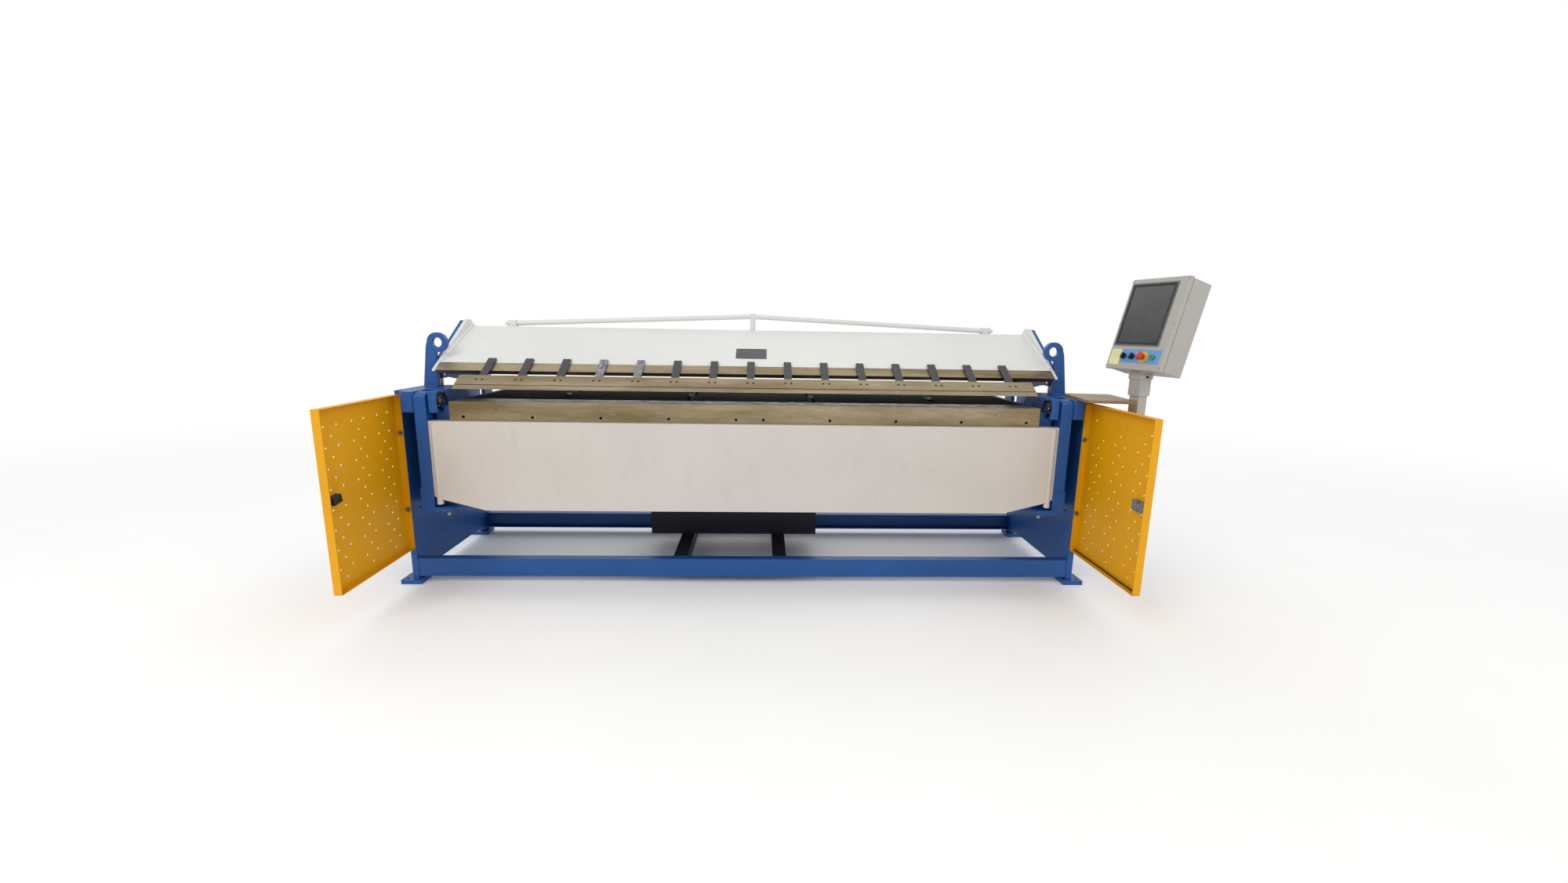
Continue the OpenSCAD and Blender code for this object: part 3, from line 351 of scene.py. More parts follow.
def roughen(tree, shader, coords, size, detail, spread, low, high):
    """Roughness from low to high as noise of that size goes over its spread."""
    patches = remap(tree, noise(tree, coords, size, detail), *spread, low, high)
    tree.links.new(patches, shader.inputs["Roughness"])


print("knocks along an edge are about", KNOCK, "mm")

# %% [markdown]
# ## How the paint is made
# Enamel and powder coat are films about a tenth of a millimetre thick. From the recipe below come a slow
# change of tone, dirt that has run down, bare metal on knocked edges, small chips and the orange peel of
# the spray gun. One recipe with a few settings keeps all the paints of one machine alike, as they are when
# one shop sprays them.

# %% How the paint is made
GRIME = "3a3732"
BARE_METAL = "8d8b86"
PRIMER = "4b4641"
PAINT_EDGE = 1.5


def paint(name, code, rough=0.42, peel=3, depth=0.04, tone=0.06, wear=(0.58, 0.72), dirty=0.16,
          sheen=0.36, chips=0.0):
    """Sprayed film: peel is the width and depth the height of its orange peel in mm, wear what noise must
    reach before an edge is bare, dirty and chips how strongly grime and chips show."""
    material, tree, shader, coords = start(name)
    slow = remap(tree, noise(tree, coords, 450, 3), 0.3, 0.7, 1 - tone, 1 + tone)
    colour = add(tree, "HueSaturation", {"Color": lin(code), "Value": slow}).outputs[0]
    runs = remap(tree, noise(tree, stretch(tree, coords, (1, 1, 0.35)), 70, 8, 0.65), 0.56, 0.8, 0.0, dirty)
    colour = blend(tree, runs, colour, lin(GRIME))
    bare = edges(tree, coords, PAINT_EDGE, *wear)
    colour = blend(tree, bare, colour, lin(BARE_METAL))
    if chips:
        area = remap(tree, noise(tree, coords, 350, 2), 0.5, 0.62, 0.0, 1.0)
        spots = calc(tree, "MULTIPLY", area, remap(tree, noise(tree, coords, 7, 2), 0.735, 0.76, 0.0, chips))
        colour = blend(tree, spots, colour, lin(PRIMER))
    tree.links.new(colour, shader.inputs["Base Color"])
    tree.links.new(bare, shader.inputs["Metallic"])
    shader.inputs["Specular IOR Level"].default_value = sheen
    roughen(tree, shader, coords, 20, 6, (0.3, 0.75), rough - 0.06, rough + 0.12)
    skin(tree, shader, noise(tree, coords, peel, 2), depth, 0.5, PAINT_EDGE)
    return material


print("paint wears on edges of", PAINT_EDGE, "mm")

# %% [markdown]
# ## Paints
# The frame is sprayed in two-pack enamel, because that dries hard on a large weldment. The guards and the
# console are thin sheet and fit an oven, so they are powder coated, which is thicker, duller and more even.

# %% Paints
# Two-pack machine enamel, mid blue: a soft shine, faint orange peel and bare knocks on the flame-cut edges
finishes["blue_paint"] = paint("blue machine enamel", "1b4e8e", 0.4, wear=(0.55, 0.7), tone=0.09)
# Machine enamel, near black, on rails and table plate: reads as a dark gap between the brighter parts
finishes["black_paint"] = paint("black machine enamel", "1b1c1f", 0.45)
# Tank enamel, very dark blue: shows its colour only where light grazes it, under a film of oily dirt
finishes["dark_blue_paint"] = paint("dark blue tank enamel", "0b1120", 0.35, dirty=0.3)
# Machine enamel, cool white, on the clamping beam: the smoothest film, nearly clean
finishes["white_paint"] = paint("white machine enamel", "d7d7d4", 0.36, tone=0.025, dirty=0.07)
# Machine enamel, warm off-white, on the folding beam: clouded by handling, with small dark chips in places
finishes["offwhite_paint"] = paint("off-white machine enamel", "c6c0ba", 0.38, tone=0.035, dirty=0.1,
                                   chips=0.7)
# Polyester powder coat, orange-yellow, on the guards: even and strong in colour, with a finer, deeper peel
finishes["orange_paint"] = paint("orange-yellow powder coat", "dd9d02", 0.42, peel=2.2, depth=0.06, tone=0.05,
                                 dirty=0.08, sheen=0.28)
# Fine-texture powder coat, cream, on the console: a sandy grain that spreads every highlight
finishes["cream_paint"] = paint("cream fine-texture powder coat", "a9a7a0", 0.55, peel=1.2, depth=0.1,
                                tone=0.02, dirty=0.05)
# Casting paint, grey, on pump, motor and cylinders: a rough sand-cast skin, blotchy with oil
finishes["cast_grey"] = paint("grey casting paint", "4a4d50", 0.5, peel=4, depth=0.2, tone=0.1, dirty=0.35)
print("paints", len(finishes))

# %% [markdown]
# ## How the steel is made
# A ground or milled face carries fine lines along the feed. They are noise drawn out along one axis, and
# they steer colour and bump together. Long marks lie across them, and edges are polished by use. An
# anisotropic shader would streak the highlight as well, but it costs render time for something that can't
# be seen from a few metres.

# %% How the steel is made
POLISHED_EDGE = "d5d2c8"
SCRATCH_METAL = "cfccc2"


def steel(name, dark, light, rough=0.34, grain=(0.02, 1.0, 1.0), fine=1.2, patch=None, metal=1.0,
          edge=0.8, scratch=0.35):
    """Bare or plated metal: grain scales the pattern along each axis, fine is the width of its lines in mm,
    and patch is the colour of rubbed areas."""
    material, tree, shader, coords = start(name)
    lines = noise(tree, stretch(tree, coords, grain), fine, 5, 0.6)
    colour = blend(tree, remap(tree, lines, 0.3, 0.7, 0, 1), lin(dark), lin(light))
    if patch:
        rubs = noise(tree, stretch(tree, coords, (0.16, 1, 1)), 160, 8, 0.62)
        worn = remap(tree, rubs, 0.4, 0.66, 0.0, 0.8)
        colour = blend(tree, worn, colour, lin(patch))
    streaks = noise(tree, stretch(tree, coords, (0.15, 1, 0.6), 0.5), 6, 3)
    marks = remap(tree, streaks, 0.68, 0.74, 0.0, scratch)
    colour = blend(tree, marks, colour, lin(SCRATCH_METAL))
    colour = blend(tree, edges(tree, coords, edge, 0.4, 0.6), colour, lin(POLISHED_EDGE))
    tree.links.new(colour, shader.inputs["Base Color"])
    shader.inputs["Metallic"].default_value = metal
    roughen(tree, shader, coords, 50, 7, (0.3, 0.7), rough - 0.07, rough + 0.13)
    skin(tree, shader, lines, 0.03, 0.6, edge)
    return material


print("scratches show as", SCRATCH_METAL)

# %% [markdown]
# ## Steels
# The blades are ground tool steel whose passivation gives a dull gold, darker where hands and sheets have
# rubbed it. Screws are small and turned, so their grain is the same in every direction.

# %% Steels
EVEN = (1, 1, 1)
# Tool steel, ground and yellow passivated, on the blades: dull gold, streaked along the machine
finishes["gold_steel"] = steel("yellow passivated blade steel", "8c7b5d", "b9ab91", 0.37,
                               patch="6a5a35", metal=0.85)
# Ground steel, on the table blade: a plain grey that mirrors the nose above it
finishes["table_steel"] = steel("ground table steel", "77746c", "98958c", 0.33, patch="5b564a")
# Ground shaft steel, on pins, rods and shafts: bright and even
finishes["ground_steel"] = steel("ground shaft steel", "8f8f8d", "b9b9b6", 0.24, EVEN, 2)
# Zinc plated steel, on screws, nuts and washers: bluish and soft
finishes["zinc"] = steel("zinc plated screw steel", "7c7f80", "a4a6a5", 0.36, EVEN, 1.5, edge=0.4)
# Black-oxide steel, on socket screws: nearly black, with bright rims
finishes["black_screw"] = steel("black oxide screw steel", "1c1c1d", "303031", 0.4, EVEN, 1.5, edge=0.4)
# Anodised aluminium extrusion, on the gauge modules: satin, with die lines along Y
finishes["rail_aluminium"] = steel("anodised aluminium", "8a8c8e", "a9abac", 0.42, (1, 0.02, 1), 1)
print("steels ready")

# %% [markdown]
# ## Blackened fingers
# The fingers are cut from blackened flat bar with its rolling lines along it. Two that are used most have
# been rubbed bright. They are picked out by their place along the machine, so one finish serves all
# fifteen.

# %% Blackened fingers
BRIGHT_FROM, BRIGHT_TO = -0.91, -0.52
SOFT_LIMIT = 0.01


def finger_steel():
    """Blackened steel, with noise of rubbed metal where x lies between the two limits."""
    material = steel("blackened finger steel", "3b3b3e", "5b5b5f", 0.4, (1, 0.06, 0.06), 1.6, metal=0.75,
                     scratch=0.5)
    tree = material.node_tree
    shader = next(node for node in tree.nodes if node.type == "BSDF_PRINCIPLED")
    black = shader.inputs["Base Color"].links[0].from_socket
    coords = add(tree, "TexCoord").outputs["Object"]
    x = add(tree, "SeparateXYZ", {0: coords}).outputs[0]
    pair = calc(tree, "MULTIPLY", remap(tree, x, BRIGHT_FROM, BRIGHT_FROM + SOFT_LIMIT, 0, 1),
                remap(tree, x, BRIGHT_TO - SOFT_LIMIT, BRIGHT_TO, 1, 0))
    rubs = remap(tree, noise(tree, stretch(tree, coords, (1, 0.5, 0.5)), 14, 8, 0.7), 0.38, 0.62, 0.15, 0.95)
    bright = calc(tree, "MULTIPLY", pair, rubs)
    tree.links.new(blend(tree, bright, black, lin("a3a4a6")), shader.inputs["Base Color"])
    return material


# Blackened steel, on the fingers: dark grey bars with fine lines, two of them patchy and bright
finishes["finger_steel"] = finger_steel()
print("fingers rubbed bright from x", BRIGHT_FROM, "to", BRIGHT_TO)

# %% [markdown]
# ## Rubber, plastic and paper
# Moulded parts have one colour all through, a fine grain from the mould, and dust that stays in the grain.
# Shiny buttons have a coat on top, and rubber has nearly no shine of its own.

# %% Rubber, plastic and paper
DUST = "a8a49a"


def moulded(name, code, rough=0.35, grain=0.8, depth=0.02, dust=0.1, coat=0.0, sheen=0.5):
    """Moulded or printed material: grain is the width and depth the height of its texture in mm."""
    material, tree, shader, coords = start(name)
    shade = remap(tree, noise(tree, coords, 40, 4), 0.3, 0.7, 0.92, 1.08)
    colour = add(tree, "HueSaturation", {"Color": lin(code), "Value": shade}).outputs[0]
    film = remap(tree, noise(tree, coords, 15, 8, 0.7), 0.5, 0.85, 0.0, dust)
    tree.links.new(blend(tree, film, colour, lin(DUST)), shader.inputs["Base Color"])
    shader.inputs["Coat Weight"].default_value = coat
    shader.inputs["Specular IOR Level"].default_value = sheen
    roughen(tree, shader, coords, 10, 5, (0.3, 0.7), rough - 0.05, rough + 0.1)
    skin(tree, shader, noise(tree, coords, grain, 3), depth, 0.6, 0.6)
    return material


# Nitrile rubber, extruded with ribs, on the table: matt black, greyed by dust
finishes["mat_rubber"] = moulded("ribbed nitrile rubber", "0d0d0d", 0.85, 1.5, 0.05, 0.12, sheen=0.25)
# Polyurethane cable jacket, extruded, on the sensor's lead and the belts: satin black
finishes["cable_rubber"] = moulded("black cable jacket", "141414", 0.5)
# Glass-filled nylon, moulded, on the reflector box and the selectors: black with a faint grain
finishes["black_plastic"] = moulded("black glass-filled nylon", "131314", 0.45, 1, 0.04)
# Painted zinc casting, on the light barrier's head: mid grey and dusty
finishes["sensor_grey"] = moulded("grey sensor housing", "6f7173", 0.42, 1, 0.05, 0.2)
# Acetal, moulded, on buttons and collar: strong colours, shiny on the buttons that fingers polish
finishes["red_plastic"] = moulded("red button acetal", "b8201a", 0.25, coat=0.3)
finishes["yellow_plastic"] = moulded("yellow collar acetal", "d9b31c", 0.35)
finishes["green_plastic"] = moulded("green button acetal", "1d7f4c", 0.25, coat=0.3)
# Natural nylon, moulded, on clips and selector marks: milky white
finishes["white_nylon"] = moulded("natural nylon", "dcdad2", 0.4)
# Vinyl film, printed light blue, behind the buttons: flat and even
finishes["blue_vinyl"] = moulded("blue vinyl label", "5b93cf", 0.4, 2, 0.03)
# Note paper, pale yellow: no shine at all
finishes["note_paper"] = moulded("pale yellow paper", "e2d9a2", 0.8, 0.6, 0.03)
# Anodised aluminium plate, nearly black: the darkest flat patch on the white beam
finishes["dark_plate"] = moulded("dark anodised plate", "1d2024", 0.35, 0.8, 0.02, 0.15)
# Glass-filled ABS, moulded, round the screen: a grey line that frames the glass
finishes["screen_rim"] = moulded("grey screen bezel", "5d5e61", 0.4)
print("finishes so far", len(finishes))

# %% [markdown]
# ## Screen glass
# The screen is toughened glass with a black print round a display that is off. A transparent sheet over a
# dark panel would be truer, but from a few metres only the mirror-like face, the finger smears and the dust
# show, so one opaque surface is enough. Its colour is painted lighter towards the top, as a painted
# reflection of the sky, to which it tilts.

# %% Screen glass
SCREEN_FOOT, SCREEN_HEAD = 1.34, 1.65


def screen_glass(name, dark, light):
    """Glass in a dark colour, with smears towards a light one; its value rises from 0.5 to 1.25 upwards, a
    painted reflection of the sky.
    """
    material, tree, shader, coords = start(name)
    smears = remap(tree, noise(tree, stretch(tree, coords, (1, 1, 0.4)), 50, 6, 0.7), 0.5, 0.8, 0.0, 0.35)
    specks = remap(tree, noise(tree, coords, 2.2, 2), 0.72, 0.76, 0.0, 0.5)
    height = add(tree, "SeparateXYZ", {0: coords}).outputs[2]
    # Painted reflection: the glass is painted lighter towards the top, where it tilts to the sky.
    painted_sky_reflection = remap(tree, height, SCREEN_FOOT, SCREEN_HEAD, 0.5, 1.25)
    glass = blend(tree, smears, lin(dark), lin(light))
    colour = add(tree, "HueSaturation", {"Color": glass, "Value": painted_sky_reflection}).outputs[0]
    tree.links.new(blend(tree, specks, colour, lin("9a9a96")), shader.inputs["Base Color"])
    roughen(tree, shader, coords, 30, 6, (0.35, 0.75), 0.06, 0.3)
    skin(tree, shader, noise(tree, coords, 4, 3), 0.004, 0.4, 0.8)
    return material


# Toughened glass, printed black from behind: a black mirror
finishes["screen_glass"] = screen_glass("black-printed toughened glass", "0c0c0e", "1a1b1d")
# The same glass over the unlit display: dark grey and dusty
finishes["display"] = screen_glass("dusty display glass", "454646", "676868")
print("glass lightens over", round(SCREEN_HEAD - SCREEN_FOOT, 2), "m")

# %% [markdown]
# ## Taped board
# The loose board is glued from brown strips and wrapped in clear tape. A floor over the place across the
# board numbers the strips, so each can have its own tint, and the part that is left over draws the dark
# glue line. Laps of tape cross the strips, milky where they lift. Only the colours could be painted on an
# image, without the wrinkles.

# %% Taped board
STRIP = 0.062
TAPE_LAP = 0.048
BOARD_TURN = math.radians(8)


def strips(tree, value, width, part):
    """Number of the strip that value lies in (FLOOR of value / width), or the place within it (FRACT)."""
    scaled = add(tree, "Math", {0: value, 1: width}, operation="DIVIDE").outputs[0]
    return add(tree, "Math", {0: scaled}, operation=part).outputs[0]


def wood(tree, x, grain):
    """Strips from light to dark brown along x, with the glue line in the first 3 % of each."""
    number = strips(tree, x, STRIP, "FLOOR")
    tint = add(tree, "TexWhiteNoise", {"W": number}, noise_dimensions="1D").outputs["Value"]
    colour = blend(tree, remap(tree, grain, 0.3, 0.7, 0, 1), lin("6d5034"), lin("a08258"))
    colour = blend(tree, remap(tree, tint, 0, 1, 0.0, 0.5), colour, lin("5a4430"))
    glue = remap(tree, strips(tree, x, STRIP, "FRACT"), 0.0, 0.03, 0.8, 0.0)
    return blend(tree, glue, colour, lin("33261b"))


def taped_board():
    """Wood under clear tape, whose laps run across the board."""
    material, tree, shader, coords = start("tape-wrapped strip board")
    turned = stretch(tree, coords, (1, 1, 1), BOARD_TURN)
    x, y, _ = add(tree, "SeparateXYZ", {0: turned}).outputs
    grain = noise(tree, stretch(tree, turned, (1, 0.06, 1)), 4, 6, 0.6)
    lap = remap(tree, strips(tree, y, TAPE_LAP, "FRACT"), 0.0, 0.1, 1.0, 0.2)
    milky = calc(tree, "MULTIPLY", lap, remap(tree, noise(tree, turned, 30, 6), 0.42, 0.7, 0.0, 0.35))
    tree.links.new(blend(tree, milky, wood(tree, x, grain), lin("b9a988")), shader.inputs["Base Color"])
    shader.inputs["Coat Weight"].default_value = 0.2
    shader.inputs["Coat Roughness"].default_value = 0.3
    shader.inputs["Specular IOR Level"].default_value = 0.3
    tree.links.new(remap(tree, grain, 0.3, 0.7, 0.42, 0.6), shader.inputs["Roughness"])
    skin(tree, shader, noise(tree, stretch(tree, turned, (1, 0.25, 1)), 12, 5), 0.6, 0.5, 2)
    return material


# Pine and hardwood strips, glued and taped: brown, striped, with a weak shine from the tape
finishes["board_wood"] = taped_board()
print("finishes", len(finishes))

# %% [markdown]
# ## Finishes on the CAD parts
# Each CAD part names a material slot in the record, and the finish of that name replaces the plain one.

# %% Finishes on the CAD parts
def refinish(obj, finish):
    """Puts the finish in every slot of the part, or in a first one."""
    if not obj.material_slots:
        obj.data.materials.append(finish)
    for holder in obj.material_slots:
        holder.material = finish


for part in frame["record"]["subparts"]:
    refinish(frame["nodes"][part["node"]], finishes[part["material_slot"]])

# %% [markdown]
# ## Bearing rings
# A retaining ring closes each inner ear round the fold shaft. It is turned from bar, with chamfered rims,
# and six small socket screws hold it. Its profile is a closed loop, because a ring has a hole and no end
# faces.

# %% Bearing rings
EAR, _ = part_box("right_pivot_housing")
SHAFT_LOW, SHAFT_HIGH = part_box("right_pivot_shaft")
PIVOT = (SHAFT_LOW + SHAFT_HIGH) / 2
RING_IN, RING_OUT, RING_T, RING_CHAMFER = 0.035, 0.050, 0.006, 0.002
RING = [(RING_IN, 0), (RING_OUT, 0), (RING_OUT, RING_T - RING_CHAMFER), (RING_OUT - RING_CHAMFER, RING_T),
        (RING_IN + RING_CHAMFER, RING_T), (RING_IN, RING_T - RING_CHAMFER)]
SCREW_CIRCLE = 0.0432


def bearing_ring(side):
    """Ring on the ear's inner face, towards the middle."""
    yield lathe(RING, (side * EAR.x, PIVOT.y, PIVOT.z), (-side, 0, 0), 48, loop=True)


def ring_screws(side):
    """Six screws on a circle: (y, z) = pivot + R (cos t, sin t), at 30 degrees and every 60 further on."""
    for t in np.radians(30 + 60 * np.arange(6)):
        y, z = PIVOT.y + SCREW_CIRCLE * math.cos(t), PIVOT.z + SCREW_CIRCLE * math.sin(t)
        yield socket_head((side * (EAR.x - RING_T), y, z), (-side, 0, 0), 0.0035, 0.003, 18)


piece("bearing_rings", both(bearing_ring), "frame", "black_screw", smooth=True)
piece("bearing_ring_screws", both(ring_screws), "frame", "zinc", smooth=True)
print("bearing rings at x", round(EAR.x, 3))

# %% [markdown]
# ## Screws in the folding blade
# The blade hangs on socket screws sunk in its lower row of holes, and dowels in the upper row line it up.
# The CAD has the holes, so here only what stands in them is made, seated on the bottom of each hole.

# %% Screws in the folding blade
BLADE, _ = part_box("folding_blade")
HOLE_DEPTH = 0.023
SCREW_X = [0.072 + 0.352 * k for k in range(5)]
DOWEL_X = [0.250 + 0.530 * k for k in range(3)]
DOWEL = [(0.0038, 0), (0.0038, 0.015), (0.003, 0.016)]


def in_blade(x, up):
    """Bottom of the hole at x and up above the blade's lower edge."""
    return x, BLADE.y + HOLE_DEPTH, BLADE.z + up


screws = [socket_head(in_blade(side * x, 0.022), (0, -1, 0), 0.0077, 0.015, 24)
          for side in (-1, 1) for x in SCREW_X]
dowels = [lathe(DOWEL, in_blade(side * x, 0.064), (0, -1, 0), 20) for side in (-1, 1) for x in DOWEL_X]
piece("folding_blade_screws", join(screws), "bending_beam", "black_screw", smooth=True)
piece("folding_blade_dowels", join(dowels), "bending_beam", "ground_steel", smooth=True)
print("blade screws", len(screws), "dowels", len(dowels))

# %% [markdown]
# ## Screws in the nose
# The nose blade is held at every finger by two screws, sunk in its sloping face. They are placed by two
# vectors, one up the face and one out of it, so they stay square to it.

# %% Screws in the nose
NOSE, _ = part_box("nose_blade")
TIP_Z = 1.072
NOSE_W = 0.117
SCREW_SHARE = 0.69
SCREW_SINK = 0.0048
FINGERS, FINGER_PITCH, SCREW_PAIR = 15, 0.205, 0.032
nose_slope = math.radians(33)
up_face = np.array([0, math.cos(nose_slope), math.sin(nose_slope)])
off_face = np.array([0, -math.sin(nose_slope), math.cos(nose_slope)])
finger_x = FINGER_PITCH * (np.arange(FINGERS) - FINGERS // 2)


def in_nose(x):
    """Place of a screw: tip + 0.69 w up the face - sink out of it."""
    return np.array([x, NOSE.y, TIP_Z]) + SCREW_SHARE * NOSE_W * up_face - SCREW_SINK * off_face


nose = [socket_head(in_nose(x + half), off_face, 0.0056, 0.0016, 24)
        for x in finger_x for half in (-SCREW_PAIR / 2, SCREW_PAIR / 2)]
piece("nose_screws", join(nose), "clamping_beam", "black_screw", smooth=True)
print("nose screws", len(nose))

# %% [markdown]
# ## Weld beads on the frame
# The frame is cut from plate and welded by hand, so beads run in its inner corners, under the paint. Each
# starts and stops short of the corner's ends, as a welder leaves room for the torch.

# %% Weld beads on the frame
BITE = 0.0005
LUG_Y = (0.240, 0.265)
LUG_X = (1.744, 1.818)
SHELF_Y, SHELF_Z = (0.6405, 0.8), 0.642
CHANNEL_Z = (0.042, 0.134)
BOX_LOW, BOX_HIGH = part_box("right_frame_box")
_, HOUSING_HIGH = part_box("right_pivot_housing")
CHANNEL_LOW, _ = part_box("front_channel")
_, LOWER_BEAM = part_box("lower_beam")
UPRIGHT = BOX_LOW.z + 0.025
WEB_TOP, REAR_TOP = EAR.z - 0.006, LOWER_BEAM.z - 0.038


def frame_welds(side):
    """Beads at the lug's foot, up the web, at the channel, behind the lower beam and along the shelf."""
    top, plate = HOUSING_HIGH.z + BITE, side * (BOX_HIGH.x - BITE)
    web, inner = BOX_LOW.y - BITE, side * (BOX_LOW.x - BITE)
    front, rear = CHANNEL_LOW.y - BITE, LOWER_BEAM.y + BITE
    for y in (LUG_Y[0] - BITE, LUG_Y[1] + BITE):
        yield weld((side * LUG_X[0], y, top), (side * LUG_X[1], y, top), 0.0045)
    yield weld((plate, web, UPRIGHT), (plate, web, WEB_TOP), 0.005)
    yield weld((plate, front, CHANNEL_Z[0]), (plate, front, CHANNEL_Z[1]), 0.0045)
    yield weld((inner, rear, UPRIGHT), (inner, rear, REAR_TOP), 0.005)
    yield weld((plate, SHELF_Y[0], SHELF_Z), (plate, SHELF_Y[1], SHELF_Z))


piece("frame_weld_beads", both(frame_welds), "frame", "blue_paint", smooth=True)
print("frame welds at x", round(BOX_HIGH.x - BITE, 4))

# %% [markdown]
# ## Seams on the beams
# On the clamping beam and the folding beam the seams to the end plates are filled in several passes and
# sanded, so they are wide and nearly smooth. They are tubes with a slight waver, sunk until only a low
# ridge shows. The folding arms have plain small beads.

# %% Seams on the beams
_, CLAMP_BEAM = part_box("clamp_beam")
ARM_LOW, ARM_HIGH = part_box("right_folding_arm")
SEAM_START, SEAM_RUN = np.array([0.236, 1.1995]), np.array([0.378, 0.1918])
SEAM_R, RIDGE_R = 0.0125, 0.0162
RIDGE_X, RIDGE_Y, RIDGE_Z = 1.630, -0.0490, (0.466, 0.902)


def beam_seams(side):
    """Up the sloping face: (y, z) = start + s run for s from 0 to 1, with radius r + 0.0006 sin(1.7 k) at
    point k, then a bead over the flat top."""
    x = side * (CLAMP_BEAM.x - BITE)
    places = SEAM_START + np.linspace(0, 1, 60)[:, None] * SEAM_RUN
    yield sweep(np.insert(places, 0, x, axis=1), SEAM_R + 0.0006 * np.sin(1.7 * np.arange(60)), 16)
    yield weld((x, 0.632, CLAMP_BEAM.z + BITE), (x, 0.682, CLAMP_BEAM.z + BITE))


def folding_seams(side):
    """Down the folding beam's front, with radius r + 0.0004 sin(0.9 k) cos(0.23 k) at point k."""
    line = [(side * RIDGE_X, RIDGE_Y, z) for z in np.linspace(*RIDGE_Z, 90)]
    k = np.arange(90)
    yield sweep(line, RIDGE_R + 0.0004 * np.sin(0.9 * k) * np.cos(0.23 * k), 48)


def arm_welds(side):
    """Bead across the arm's lower front edge."""
    ends = [(side * x, ARM_LOW.y + BITE, ARM_LOW.z) for x in (ARM_LOW.x + 0.0015, ARM_HIGH.x - 0.0015)]
    yield weld(*ends, 0.003)


piece("beam_weld_beads", both(beam_seams), "clamping_beam", "white_paint", smooth=True)
piece("folding_beam_seams", both(folding_seams), "bending_beam", "offwhite_paint",
      smooth=True)
piece("arm_weld_beads", both(arm_welds), "bending_beam", "blue_paint", smooth=True)
print("seams at x", round(CLAMP_BEAM.x - BITE, 4), "and", RIDGE_X)

# %% [markdown]
# ## Rating plate
# A machine's data are engraved on a thin anodised sheet, riveted to it. This one stays blank. It lies on
# the sloping face, so its corners are worked out in the plane of that face.

# %% Rating plate
FACE_FOOT, FACE_HEAD = np.array([0.229, 1.1951]), np.array([0.621, 1.394])
PLATE_T = 0.0012
PLATE_LOW, PLATE_HIGH = (-0.090, 0.086), (0.088, 0.202)
RIVET_IN = 0.007
RIVET = [(0.0035, 0), (0.0033, 0.0009), (0.002, 0.0016), (0.0008, 0.0018)]
up_beam = (FACE_HEAD - FACE_FOOT) / np.linalg.norm(FACE_HEAD - FACE_FOOT)
off_beam = np.array([-up_beam[1], up_beam[0]])


def on_beam(x, up, out):
    """Point of the clamping beam's face: foot + up along the face + out of it."""
    return np.array([x, *(FACE_FOOT + up * up_beam + out * off_beam)])


(x0, up0), (x1, up1) = PLATE_LOW, PLATE_HIGH
outline = [(x0, up0), (x1, up0), (x1, up1), (x0, up1)]
plate = eight_corners([on_beam(x, up, out) for out in (0.0, PLATE_T) for x, up in outline])
rivets = [lathe(RIVET, on_beam(x, up, PLATE_T), (0, *off_beam), 16)
          for x in (x0 + RIVET_IN, x1 - RIVET_IN) for up in (up0 + RIVET_IN, up1 - RIVET_IN)]
piece("rating_plate", plate, "clamping_beam", "dark_plate", bevel=0.0004)
piece("rating_plate_rivets", join(rivets), "clamping_beam", "zinc", smooth=True)
print("plate", round(x1 - x0, 3), "by", round(up1 - up0, 3), "m on", len(rivets), "rivets")

# %% [markdown]
# ## Truss rod nuts
# The rod over the clamping beam keeps it straight. It is threaded at its ends and drawn tight by nuts
# against two lugs, and the whole is painted over. The thread is too fine to show, so the end is a plain
# chamfered stud.

# %% Truss rod nuts
TRUSS_LOW, TRUSS_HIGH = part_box("truss_rod")
STUD = [(0.0115, 0), (0.0115, 0.026), (0.0095, 0.028)]


def truss_nuts(side):
    """Nut and stud, outwards from the end of the rod."""
    end = (side * (TRUSS_HIGH.x + BITE), (TRUSS_LOW.y + TRUSS_HIGH.y) / 2, TRUSS_LOW.z + 0.019)
    yield hex_head(end, (side, 0, 0), 0.020, 0.014)
    yield lathe(STUD, end, (side, 0, 0), 24)


piece("truss_rod_nuts", both(truss_nuts), "clamping_beam", "white_paint", smooth=True)
print("truss nuts at x", round(TRUSS_HIGH.x + BITE, 3))

# %% [markdown]
# ## Adjusting screws
# A jacking screw stands under each end of the folding beam and takes out its sag, and a lock nut holds it.
# Both are hexagons of different size on one axis.

# %% Adjusting screws
FOOT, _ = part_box("right_arm_foot")
JACK_X, JACK_Y = 1.600, -0.034
JACK_GAP, NUT_STEP = 0.0003, 0.0095


def jack(side):
    """Lock nut under the foot, then the head of the screw."""
    low = FOOT.z - JACK_GAP
    yield hex_head((side * JACK_X, JACK_Y, low), (0, 0, -1), 0.014, 0.009)
    yield hex_head((side * JACK_X, JACK_Y, low - NUT_STEP), (0, 0, -1), 0.012, 0.012)


piece("beam_adjusting_screws", both(jack), "bending_beam", "zinc", smooth=True)
print("adjusting screws down to z", round(FOOT.z - JACK_GAP - NUT_STEP - 0.012, 4))

# %% [markdown]
# ## Lead clips
# White nylon clips hold the light barrier's lead on the guard. The lead bends a little on its way down, so
# each clip is centred on the lead's own points near its height.

# %% Lead clips
CLIP_Z = (0.527, 0.368, 0.245)
CLIP_HALF = (0.006, 0.007, 0.005)
CLIP_FOOT = 0.0098
lead_points = np.array([vertex.co for vertex in frame["nodes"]["sensor_lead"].data.vertices])


def clip_at(z):
    """Block round the mean of the lead's points within 30 mm of z, reaching to the guard's sheet."""
    x, y, _ = lead_points[np.abs(lead_points[:, 2] - z) < 0.03].mean(0)
    half_x, half_y, half_z = CLIP_HALF
    return block((x - half_x, y - half_y, z - half_z), (x + CLIP_FOOT, y + half_y, z + half_z))


clips = join([clip_at(z) for z in CLIP_Z])
piece("lead_clips", clips, "frame", "white_nylon", bevel=0.0015)
print("clips at z", CLIP_Z)

